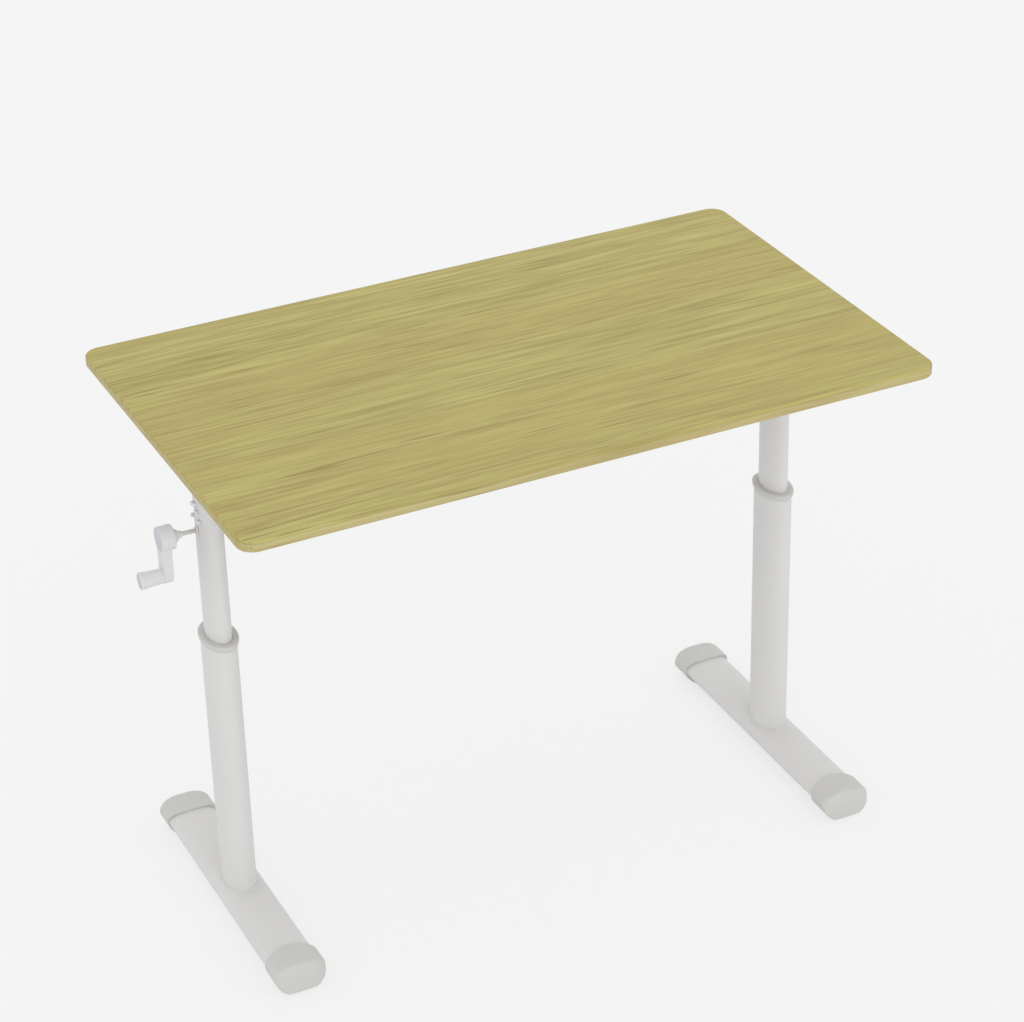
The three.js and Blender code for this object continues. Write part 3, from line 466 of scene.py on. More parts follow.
class Form:
    """Gathers closed shells in millimetres and makes one finished mesh object of them."""

    def __init__(self, place: Matrix | None = None) -> None:
        """Takes the place that every added shell is moved to."""
        self.mesh = bmesh.new()
        self.place = place or Matrix.Identity(4)

    def loft(self, rings: Sequence[Ring], loop: bool = False) -> "Form":
        """Skins rings of equal counts.

        Args:
            rings: the rings, in order.
            loop: whether the last ring joins the first. Otherwise both ends are closed flat.

        Returns:
            The form itself.
        """
        made = [[self.mesh.verts.new(self.place @ point) for point in ring] for ring in rings]
        pairs = list(zip(made, made[1:]))
        if loop:
            pairs.append((made[-1], made[0]))
        for near, far in pairs:
            for index in range(len(near)):
                after = (index + 1) % len(near)
                self.mesh.faces.new((near[index], near[after], far[after], far[index]))
        if not loop:
            self.mesh.faces.new(list(reversed(made[0])))
            self.mesh.faces.new(made[-1])
        return self

    def turn(
        self,
        axis: Axis,
        profile: Profile,
        centre: tuple[float, float, float] = (0.0, 0.0, 0.0),
        count: int = 64,
    ) -> "Form":
        """Turns a profile of radii and places about an axis.

        Args:
            axis: the axis that it is turned about.
            profile: radii and places along the axis. One that starts and ends at radius 0 is a
                solid form, and any other closes on itself.
            centre: the point that the axis goes through.
            count: how many sides the form has.

        Returns:
            The form itself.
        """
        turns = [2 * math.pi * step / count for step in range(count)]
        middle = Vector(centre)

        def point(radius: float, along: float, turn: float) -> Vector:
            """One point of the turned form."""
            across, up = radius * math.cos(turn), radius * math.sin(turn)
            place = (along, across, up) if axis is Axis.X else (across, up, along)
            return Vector(place) + middle

        solid = profile[0][0] == 0 and profile[-1][0] == 0
        inner = profile[1:-1] if solid else profile
        rings = [[point(radius, along, turn) for turn in turns] for radius, along in inner]
        return self.loft(rings, loop=not solid)

    def finish(self, name: str, *finishes: Finish, sharp: float = 32.0) -> bpy.types.Object:
        """Makes the object, in metres, with smooth shading between sharp edges.

        Args:
            name: the piece's name.
            finishes: a finish for each of its material slots.
            sharp: the angle in degrees from which an edge stays sharp.

        Returns:
            The new object, linked to the scene.
        """
        bmesh.ops.recalc_face_normals(self.mesh, faces=self.mesh.faces)
        bmesh.ops.scale(self.mesh, vec=(MM, MM, MM), verts=self.mesh.verts)
        mesh = bpy.data.meshes.new(name)
        self.mesh.to_mesh(mesh)
        self.mesh.free()
        mesh.polygons.foreach_set("use_smooth", [True] * len(mesh.polygons))
        mesh.set_sharp_from_angle(angle=math.radians(sharp))
        for finish in finishes:
            mesh.materials.append(finish.material())
        return place(name, mesh)


def dress(node: str, finish: Finish) -> None:
    """Gives a piece that keeps its own solid its finish."""
    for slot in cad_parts[node].material_slots:
        slot.material = finish.material()


def bevel(piece: bpy.types.Object, width: float) -> None:
    """Rounds a piece's sharp edges by a width in millimetres."""
    modifier = piece.modifiers.new("rounding", "BEVEL")
    modifier.width = width * MM
    modifier.segments = 2
    modifier.limit_method = "ANGLE"
    modifier.angle_limit = math.radians(40)
    bake(piece)


def bake(piece: bpy.types.Object) -> None:
    """Applies a piece's modifiers to its mesh."""
    graph = bpy.context.evaluated_depsgraph_get()
    flat = bpy.data.meshes.new_from_object(piece.evaluated_get(graph))
    piece.modifiers.clear()
    old = piece.data
    piece.data = flat
    bpy.data.meshes.remove(old)


def settle(piece: bpy.types.Object, body: str, slot: str, *nodes: str) -> None:
    """Puts a piece on its body and hides the nodes that it stands for.

    Args:
        piece: the finished piece.
        body: the body that it moves with.
        slot: not used.
        nodes: the nodes that it replaces.
    """
    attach(piece, body)
    if nodes:
        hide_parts(*nodes)
    log.info("%s on %s, %d faces", piece.name, body, len(piece.data.polygons))


# Patterns made by geometry nodes


class Pattern:
    """A geometry node tree with named inputs, run once and turned into a plain mesh."""

    name: ClassVar[str] = "pattern"
    inputs: ClassVar[dict[str, str]] = {}

    def tree(self) -> bpy.types.NodeTree:
        """The tree, which is built the first time."""
        known = bpy.data.node_groups.get(self.name)
        if known:
            return known
        tree = bpy.data.node_groups.new(self.name, "GeometryNodeTree")
        interface = tree.interface
        interface.new_socket("Geometry", in_out="INPUT", socket_type="NodeSocketGeometry")
        for label, kind in self.inputs.items():
            interface.new_socket(label, in_out="INPUT", socket_type=kind)
        interface.new_socket("Geometry", in_out="OUTPUT", socket_type="NodeSocketGeometry")
        board = Board(tree)
        source = board.node("NodeGroupInput")
        shape = self.build(board, {socket.name: socket for socket in source.outputs})
        real = board.out("GeometryNodeRealizeInstances", {"Geometry": shape})
        finish = {"Geometry": real, "Material": source.outputs["Material"]}
        board.node("NodeGroupOutput", None, {0: board.out("GeometryNodeSetMaterial", finish)})
        return tree

    def build(self, board: Board, given: dict[str, bpy.types.NodeSocket]) -> bpy.types.NodeSocket:
        """Adds the pattern's own nodes and gives their geometry."""
        raise NotImplementedError

    def run(self, name: str, start: bpy.types.Mesh | None, **values: object) -> bpy.types.Object:
        """Runs the pattern once.

        Args:
            name: the new piece's name.
            start: the mesh that the pattern starts from, or none.
            values: the value of each named input.

        Returns:
            The piece, with a plain mesh.
        """
        piece = place(name, start or bpy.data.meshes.new(name))
        modifier = piece.modifiers.new("pattern", "NODES")
        modifier.node_group = self.tree()
        sockets = {
            item.name: item.identifier
            for item in modifier.node_group.interface.items_tree
            if item.in_out == "INPUT"
        }
        for label, value in values.items():
            modifier[sockets[label.replace("_", " ").title()]] = value
        bake(piece)
        piece.data.name = name
        return piece


class OvalTube(Pattern):
    """A drawn oval tube: its wall's section is swept round an oval."""

    name = "oval_tube"
    inputs = {
        "Half X": "NodeSocketFloat",
        "Half Y": "NodeSocketFloat",
        "Wall": "NodeSocketFloat",
        "Length": "NodeSocketFloat",
        "Centre": "NodeSocketVector",
        "Material": "NodeSocketMaterial",
    }

    def build(self, board: Board, given: dict[str, bpy.types.NodeSocket]) -> bpy.types.NodeSocket:
        """An oval path along the middle of the wall, and a rectangle with softened corners."""
        wall = Socket(board, given["Wall"])
        scale = board.out("ShaderNodeCombineXYZ", {
            "X": Socket(board, given["Half X"]) - wall * 0.5,
            "Y": Socket(board, given["Half Y"]) - wall * 0.5,
            "Z": 1.0,
        })
        unit = {"Resolution": 96, "Radius": 1.0}
        path = board.out("GeometryNodeTransform", {
            "Geometry": board.out("GeometryNodeCurvePrimitiveCircle", unit),
            "Scale": scale,
            "Translation": given["Centre"],
        })
        size = {"Width": given["Wall"], "Height": given["Length"]}
        section = board.out("GeometryNodeCurvePrimitiveQuadrilateral", size)
        soft = board.out("GeometryNodeFilletCurve", {"Curve": section, "Radius": 0.4 * MM})
        swept = board.out("GeometryNodeCurveToMesh", {"Curve": path, "Profile Curve": soft})
        return board.out("GeometryNodeSetShadeSmooth", {"Geometry": swept})


class Fasteners(Pattern):
    """Screw heads on points: each stands along its point's facing direction."""

    name = "fasteners"
    inputs = {"Head": "NodeSocketObject", "Material": "NodeSocketMaterial"}

    def build(self, board: Board, given: dict[str, bpy.types.NodeSocket]) -> bpy.types.NodeSocket:
        """The head on every point, turned to the point's facing and by the point's spin."""
        head = board.node("GeometryNodeObjectInfo", None, {"Object": given["Head"]})
        upright = board.out(
            "FunctionNodeAlignRotationToVector",
            {"Vector": self.attribute(board, "facing", "FLOAT_VECTOR")},
            {"axis": "Z"},
        )
        spin = {"Angle": self.attribute(board, "spin", "FLOAT")}
        turned = board.out("FunctionNodeAxisAngleToRotation", spin)
        both = {0: upright, 1: turned}
        return board.out("GeometryNodeInstanceOnPoints", {
            "Points": given["Geometry"],
            "Instance": head.outputs["Geometry"],
            "Rotation": board.out("FunctionNodeRotateRotation", both, {"rotation_space": "LOCAL"}),
            "Scale": self.attribute(board, "size", "FLOAT"),
        })

    def attribute(self, board: Board, name: str, kind: str) -> bpy.types.NodeSocket:
        """A named attribute of the points."""
        return board.out("GeometryNodeInputNamedAttribute", {"Name": name}, {"data_type": kind})


class Thread(Pattern):
    """A screw thread: a ridge swept along a helix."""

    name = "thread"
    inputs = {
        "Rotations": "NodeSocketFloat",
        "Radius": "NodeSocketFloat",
        "Length": "NodeSocketFloat",
        "Ridge": "NodeSocketFloat",
        "Centre": "NodeSocketVector",
        "Material": "NodeSocketMaterial",
    }

    def build(self, board: Board, given: dict[str, bpy.types.NodeSocket]) -> bpy.types.NodeSocket:
        """A right-handed helix and a six-sided section that stands out of the core."""
        helix = board.out("GeometryNodeCurveSpiral", {
            "Resolution": 20,
            "Rotations": given["Rotations"],
            "Start Radius": given["Radius"],
            "End Radius": given["Radius"],
            "Height": given["Length"],
        })
        level = board.out("GeometryNodeSetCurveNormal", {"Curve": helix}, {"mode": "Z_UP"})
        placed = {"Geometry": level, "Translation": given["Centre"]}
        sides = {"Resolution": 6, "Radius": given["Ridge"]}
        return board.out("GeometryNodeCurveToMesh", {
            "Curve": board.out("GeometryNodeTransform", placed),
            "Profile Curve": board.out("GeometryNodeCurvePrimitiveCircle", sides),
            "Fill Caps": True,
        })


class Bead(Pattern):
    """A round weld bead, swept along the edges that it is given."""

    name = "bead"
    inputs = {"Radius": "NodeSocketFloat", "Material": "NodeSocketMaterial"}

    def build(self, board: Board, given: dict[str, bpy.types.NodeSocket]) -> bpy.types.NodeSocket:
        """The given edges as one curve, with a round section."""
        round_section = {"Resolution": 10, "Radius": given["Radius"]}
        swept = board.out("GeometryNodeCurveToMesh", {
            "Curve": board.out("GeometryNodeMeshToCurve", {"Mesh": given["Geometry"]}),
            "Profile Curve": board.out("GeometryNodeCurvePrimitiveCircle", round_section),
            "Fill Caps": True,
        })
        return board.out("GeometryNodeSetShadeSmooth", {"Geometry": swept})


@dataclass
class Spot:
    """Where one fastener's head stands, in millimetres, and which way it faces."""

    place: tuple[float, float, float]
    facing: tuple[float, float, float]
    size: float = 1.0
    spin: float = 0.0


class Drive(Enum):
    """The recess in a screw's head."""

    CROSS = "cross"
    HEX = "hex"


@dataclass
class ScrewHead:
    """A pan or cap head with a recess, whose seat is at the origin and which faces +Z."""

    radius: float
    height: float
    drive: Drive
    dome: float = 0.35

    def make(self) -> bpy.types.Object:
        """Makes the head as an object of its own, which the patterns copy."""
        soft = self.height * 0.3
        form = Form().turn(Axis.Z, [
            (0, 0),
            (self.radius, 0),
            (self.radius, self.height * 0.55),
            (self.radius - soft * 0.3, self.height * 0.8),
            (self.radius - soft, self.height * 0.95),
            (self.radius * 0.6, self.height * (0.95 + self.dome * 0.12)),
            (0, self.height),
        ], count=28)
        head = form.finish(f"head_{self.radius}", STEEL)
        self.recess(head)
        return head

    def recess(self, head: bpy.types.Object) -> None:
        """Cuts the drive into the head."""
        low, high = self.height - self.height * 0.22, self.height + 1
        shape = Form()
        if self.drive is Drive.HEX:
            reach = self.radius * 0.5
            shape.loft([oval(reach, reach, z, 6) for z in (low, high)])
        else:
            arm, waist = self.radius * 0.44, self.radius * 0.1
            outline = [
                (arm, -waist), (arm, waist), (waist, waist), (waist, arm), (-waist, arm),
                (-waist, waist), (-arm, waist), (-arm, -waist), (-waist, -waist),
                (-waist, -arm), (waist, -arm), (waist, -waist),
            ]
            shape.loft([
                [Vector((x * 0.7, y * 0.7, low)) for x, y in outline],
                [Vector((x, y, high)) for x, y in outline],
            ])
        tool = shape.finish("drive_tool", STEEL)
        cut = head.modifiers.new("recess", "BOOLEAN")
        cut.operation = "DIFFERENCE"
        cut.solver = "EXACT"
        cut.object = tool
        bake(head)
        bpy.data.objects.remove(tool)


def fasten(name: str, head: ScrewHead, spots: Iterable[Spot], finish: Finish) -> bpy.types.Object:
    """Sets one kind of head on every spot.

    Args:
        name: the new piece's name.
        head: the head that is repeated.
        spots: where the heads stand.
        finish: their finish.

    Returns:
        All the heads as one piece.
    """
    given = list(spots)
    points = bpy.data.meshes.new(name)
    points.from_pydata([Vector(spot.place) * MM for spot in given], [], [])
    # Known fault: facing is left at zero, so every head faces +Z and not along spot.facing.
    # The cure is to fill facing here, before spin is added, since adding an attribute makes
    # the reference to the one before it stale. The heads' sizes and places then need another
    # look, because they were set with the fault in.
    points.attributes.new("facing", "FLOAT_VECTOR", "POINT")
    spin = points.attributes.new("spin", "FLOAT", "POINT")
    spin.data.foreach_set("value", [spot.spin for spot in given])
    size = points.attributes.new("size", "FLOAT", "POINT")
    size.data.foreach_set("value", [spot.size for spot in given])
    pattern_head = head.make()
    piece = Fasteners().run(name, points, head=pattern_head, material=finish.material())
    bpy.data.objects.remove(pattern_head)
    piece.data.set_sharp_from_angle(angle=math.radians(35))
    return piece


# Worktop


class Skin(Enum):
    """The worktop's finishes, each by its material slot."""

    FOIL = 0
    BAND = 1
    BACKING = 2
    JOINT = 3


@dataclass
class Worktop:
    """The rounded board on top of the desk."""

    width: float = 1000.0
    depth: float = 600.0
    corner: float = 24.0
    edge: float = 2.5
    joint: tuple[float, float] = (764.2, 764.8)
    corner_steps: int = 24
    edge_steps: int = 6

    def skin(self, face: bpy.types.MeshPolygon) -> Skin:
        """The finish of one face, by its height and whether it faces down."""
        height = face.center.z / MM
        if face.normal.z < -0.75:
            return Skin.BACKING
        if height < self.joint[0]:
            return Skin.BAND
        return Skin.JOINT if height < self.joint[1] else Skin.FOIL

    def outline(self, inset: float, z: float) -> Ring:
        """The board's outline, drawn in by an inset."""
        points = []
        for quarter, (sign_x, sign_y) in enumerate(((1, 1), (-1, 1), (-1, -1), (1, -1))):
            centre_x = sign_x * (self.width / 2 - self.corner) + SHIFT
            centre_y = sign_y * (self.depth / 2 - self.corner)
            radius = self.corner - inset
            for step in range(self.corner_steps + 1):
                turn = (quarter + step / self.corner_steps) * math.pi / 2
                x = centre_x + radius * math.cos(turn)
                points.append(Vector((x, centre_y + radius * math.sin(turn), z)))
        return points

    def build(self) -> None:
        """Makes the board: foil over the rounding, a thin joint, the edge band and the backing."""
        turns = [step / self.edge_steps * math.pi / 2 for step in range(self.edge_steps + 1)]
        under = [
            (self.edge * (1 - math.sin(turn)), UNDERSIDE_Z + self.edge * (1 - math.cos(turn)))
            for turn in turns
        ]
        over = [(inset, TOP_Z + UNDERSIDE_Z - z) for inset, z in reversed(under)]
        flat = self.edge + 1.0
        seam = [(0.0, height) for height in self.joint]
        stations = [(flat, UNDERSIDE_Z), *under, *seam, *over, (flat, TOP_Z)]
        form = Form().loft([self.outline(inset, z) for inset, z in stations])
        board = form.finish("worktop_board", WOOD, WOOD_EDGE, BACKING, WOOD_JOINT, sharp=50)
        for face in board.data.polygons:
            face.material_index = self.skin(face).value
        settle(board, "top_frame", "worktop", "desktop")


# Frame under the top


@dataclass
class UnderFrame:
    """The folded arms over the legs and the two beams between them."""

    arm_half_width: float = 23.0
    arm_half_length: float = 245.0
    arm_depth: float = 22.0
    arm_tip_depth: float = 9.7
    arm_straight: float = 105.0
    sheet: float = 2.0
    beam_at: float = 66.0
    beam_half_width: float = 20.0
    beam_height: float = 19.0
    beam_wall: float = 1.5
    plate_half_width: float = 32.0
    top: float = UNDERSIDE_Z - GAP

    def depth_at(self, along: float) -> float:
        """How deep an arm is at a place along it."""
        reach = max(0.0, abs(along) - self.arm_straight)
        share = reach / (self.arm_half_length - self.arm_straight)
        return self.arm_depth + (self.arm_tip_depth - self.arm_depth) * share

    def arm_section(self, along: float) -> Ring:
        """The folded section: a web on top, two sides, and rounded folds."""
        low = self.top - self.depth_at(along)
        half, wall = self.arm_half_width, self.sheet
        inner_top = self.top - wall
        points = [(-half, low)]
        for centre_x, start in ((-half + 3, 180), (half - 3, 90)):
            for step in range(7):
                turn = math.radians(start - step * 15)
                points.append((centre_x + 3 * math.cos(turn), self.top - 3 + 3 * math.sin(turn)))
        points.append((half, low))
        points.append((half - wall, low))
        for centre_x, start in ((half - wall - 1, 0), (-half + wall + 1, 90)):
            for step in range(5):
                turn = math.radians(start + step * 22.5)
                points.append((centre_x + math.cos(turn), inner_top - 1 + math.sin(turn)))
        points.append((-half + wall, low))
        return [Vector((x, along, z)) for x, z in points]

    def arm(self, side: Side) -> None:
        """One folded arm, with the heads of its screws in the channel."""
        long, straight = self.arm_half_length, self.arm_straight
        form = Form(Matrix.Translation(side.middle))
        form.loft([self.arm_section(along) for along in (-long, -straight, straight, long)])
        arm = form.finish(f"{side.label}_arm_channel", PAINT)
        settle(arm, "top_frame", "frame_paint", f"{side.label}_support_arm")
        web = self.top - self.sheet - SEAT
        middle = side.middle
        spots = [
            Spot((middle.x, middle.y + y, web), (0, 0, -1), spin=y * 0.37)
            for y in (-225.0, -150.0, 150.0, 225.0)
        ]
        heads = fasten(f"{side.label}_top_screws", ScrewHead(4.4, 2.6, Drive.CROSS), spots, ZINC)
        settle(heads, "top_frame", "zinc_steel")
        plate = self.top - self.sheet - GAP - HEAD_PLATE_THICKNESS - SEAT
        bolts = [
            Spot((middle.x + x, middle.y + y, plate), (0, 0, -1), spin=x + y)
            for x in (-10.0, 10.0)
            for y in (-42.0, 42.0)
        ]
        wall = middle.x - side.value * (self.arm_half_width - self.sheet - SEAT)
        for beam in (-1, 1):
            for end in (-26.0, 26.0):
                place = (wall, middle.y + beam * self.beam_at + end, self.beam_middle())
                bolts.append(Spot(place, (side.value, 0, 0), size=0.85, spin=end))
        head = ScrewHead(5.2, 3.2, Drive.HEX)
        settle(fasten(f"{side.label}_arm_bolts", head, bolts, ZINC), "top_frame", "zinc_steel")

    def beam_middle(self) -> float:
        """The height of the beams' middle line."""
        return self.top - self.sheet - GAP - self.beam_height / 2

    def beam_outline(self, inset: float, x: float) -> Ring:
        """The beam's rounded section at a place along it."""
        half_y = self.beam_half_width - inset
        half_z = self.beam_height / 2 - inset
        radius = max(3.5 - inset, 0.8)
        return [Vector((x, y, z)) for y, z in rounded(half_y, half_z, radius)]

    def beam(self, name: str, offset: float) -> None:
        """One rectangular beam with its end plates."""
        reach = LEG_X - self.arm_half_width - GAP
        form = Form(Matrix.Translation((SHIFT, LEG_Y + offset, self.beam_middle())))
        inset = self.beam_wall
        form.loft([
            self.beam_outline(0, -reach + 2),
            self.beam_outline(0, reach - 2),
            self.beam_outline(inset, reach - 2),
            self.beam_outline(inset, -reach + 2),
        ], loop=True)
        for end in (-1, 1):
            outline = rounded(self.plate_half_width, self.beam_height / 2, 3.0)
            faces = [end * (reach - 3), end * reach]
            form.loft([[Vector((x, y, z)) for y, z in outline] for x in faces])
        beam = form.finish(f"{name}_beam_tube", PAINT)
        bevel(beam, 0.4)
        settle(beam, "top_frame", "frame_paint", f"{name}_crossbeam")

    def build(self) -> None:
        """Makes both arms and both beams."""
        for side in Side:
            self.arm(side)
        self.beam("front", -self.beam_at)
        self.beam("rear", self.beam_at)


# Legs and feet


@dataclass
class Leg:
    """One telescopic leg: its two oval tubes, the collar and what is fixed to them."""

    side: Side
    outer_x: float = 22.75
    outer_y: float = 38.0
    inner_x: float = 17.0
    inner_y: float = 30.0
    wall: float = 1.6
    outer_top: float = 447.0
    collar_low: float = 441.0
    collar_high: float = 450.5
    inner_bottom: float = 203.0
    inner_top: float = 746.6
    spigot_low: float = 405.0
    head_plate: tuple[float, float] = (20.5, 56.0)
    weld_radius: float = 1.3
    crown_half_width: float = 35.15
    crown_half_height: float = 18.15
    crown_middle: float = 26.0

    @property
    def base_body(self) -> str:
        """The body that stands on the floor."""
        return f"{self.side.label}_base"

    def name(self, piece: str) -> str:
        """The name of one of this leg's pieces."""
        return f"{self.side.label}_{piece}"

    def place(self) -> Matrix:
        """Moves a form from the middle of the leg to where the leg stands."""
        return Matrix.Translation(self.side.middle)

    def crown(self, x: float) -> float:
        """The height of the foot's top surface under a point of the column."""
        share = math.sqrt(1 - (x / self.crown_half_width) ** 2)
        return self.crown_middle + self.crown_half_height * share

    def outer_tube(self) -> None:
        """The lower tube, cut to the foot's crown and welded to it all round."""
        inner = (self.outer_x - self.wall, self.outer_y - self.wall)

        def seated(half_x: float, half_y: float) -> Ring:
            """A ring that lies on the foot."""
            return [Vector((p.x, p.y, self.crown(p.x))) for p in oval(half_x, half_y, 0)]

        form = Form(self.place())
        form.loft([
            seated(self.outer_x, self.outer_y),
            oval(self.outer_x, self.outer_y, 60),
            oval(self.outer_x, self.outer_y, self.outer_top - 0.4),
            oval(self.outer_x - 0.4, self.outer_y - 0.4, self.outer_top),
            oval(*inner, self.outer_top),
            oval(*inner, 60),
            seated(*inner),
        ], loop=True)
        tube = form.finish(self.name("lower_tube"), PAINT)
        settle(tube, self.base_body, "frame_paint", self.name("outer_column"))
        path = bpy.data.meshes.new(self.name("weld"))
        around = seated(self.outer_x + 0.4, self.outer_y + 0.4)
        seat = [self.place() @ point * MM for point in around]
        count = len(seat)
        path.from_pydata(seat, [(index, (index + 1) % count) for index in range(count)], [])
        size = self.weld_radius * MM
        bead = Bead().run(self.name("weld"), path, radius=size, material=PAINT.material())
        settle(bead, self.base_body, "frame_paint")

    def inner_tube(self) -> None:
        """The upper tube and its head plate."""
        length = self.inner_top - self.inner_bottom
        middle = self.side.middle + Vector((0, 0, self.inner_bottom + length / 2))
        tube = OvalTube().run(
            self.name("upper_tube"),
            None,
            half_x=self.inner_x * MM,
            half_y=self.inner_y * MM,
            wall=self.wall * MM,
            length=length * MM,
            centre=middle * MM,
            material=PAINT.material(),
        )
        settle(tube, "top_frame", "frame_paint", self.name("inner_column"))
        outline = rounded(*self.head_plate, 5.0)
        plate = Form(self.place())
        heights = (746.4, 746.4 + HEAD_PLATE_THICKNESS)
        plate.loft([[Vector((x, y, z)) for x, y in outline] for z in heights])
        made = plate.finish(self.name("head_plate"), PAINT)
        bevel(made, 0.4)
        settle(made, "top_frame", "frame_paint")

    def collar(self) -> None:
        """The plastic collar: a rounded ring that slants in below, with its running gap."""
        rim_x, rim_y = self.outer_x + 3.0, self.outer_y + 3.0
        seat_x, seat_y = self.outer_x + GAP, self.outer_y + GAP
        guide_x, guide_y = self.inner_x + 0.15, self.inner_y + 0.15
        low, high = self.collar_low, self.collar_high
        spigot = (self.outer_x - self.wall - GAP, self.outer_y - self.wall - GAP)
        ceiling = self.outer_top + GAP
        stations = [
            (seat_x, seat_y, low),
            (rim_x - 2.3, rim_y - 2.3, low),
            (rim_x - 1.9, rim_y - 1.9, low + 0.3),
            (rim_x - 1.1, rim_y - 1.1, low + 2.0),
            (rim_x - 0.4, rim_y - 0.4, low + 4.0),
        ]
        for step in range(7):
            turn = math.radians(step * 15)
            draw = 1.8 * (1 - math.cos(turn))
            stations.append((rim_x - draw, rim_y - draw, high - 2.2 + 2.2 * math.sin(turn)))
        stations += [
            (guide_x + 0.9, guide_y + 0.9, high),
            (guide_x + 0.3, guide_y + 0.3, high - 0.1),
            (guide_x, guide_y, high - 0.5),
            (guide_x, guide_y, self.spigot_low),
            (*spigot, self.spigot_low),
            (*spigot, ceiling),
            (seat_x, seat_y, ceiling),
        ]
        form = Form(self.place())
        form.loft([oval(*station) for station in stations], loop=True)
        ring = form.finish(self.name("collar_ring"), TRIM)
        settle(ring, self.base_body, "trim_plastic", self.name("collar"))

    def screws(self) -> None:
        """The screws through the upper tube's outer wall, which hold the gearbox."""
        placed = [
            (11.0, 633.5, 4.2),
            (-11.0, 634.5, 4.2),
            (0.0, 656.5, 6.0),
            (-7.0, 648.4, 3.7),
        ]
        sign = self.side.value
        head = ScrewHead(5.0, 3.1, Drive.CROSS)
        spots = []
        for number, (y, z, radius) in enumerate(placed):
            away = max(0.0, abs(y) - radius * 0.6) / self.inner_y
            seat = self.inner_x * math.sqrt(1 - away**2) + 0.2
            centre = self.side.middle + Vector((sign * seat, y, z))
            size = radius / head.radius
            spots.append(Spot(tuple(centre), (sign, 0, 0), size=size, spin=0.9 * number))
        heads = fasten(self.name("gearbox_heads"), head, spots, ZINC)
        nodes = [self.name(f"gearbox_screw_{number}") for number in (1, 2, 3, 4)]
        settle(heads, "top_frame", "zinc_steel", *nodes)

    def build(self) -> None:
        """Makes the leg's pieces from the floor up."""
        self.outer_tube()
        self.inner_tube()
        self.collar()
        self.screws()


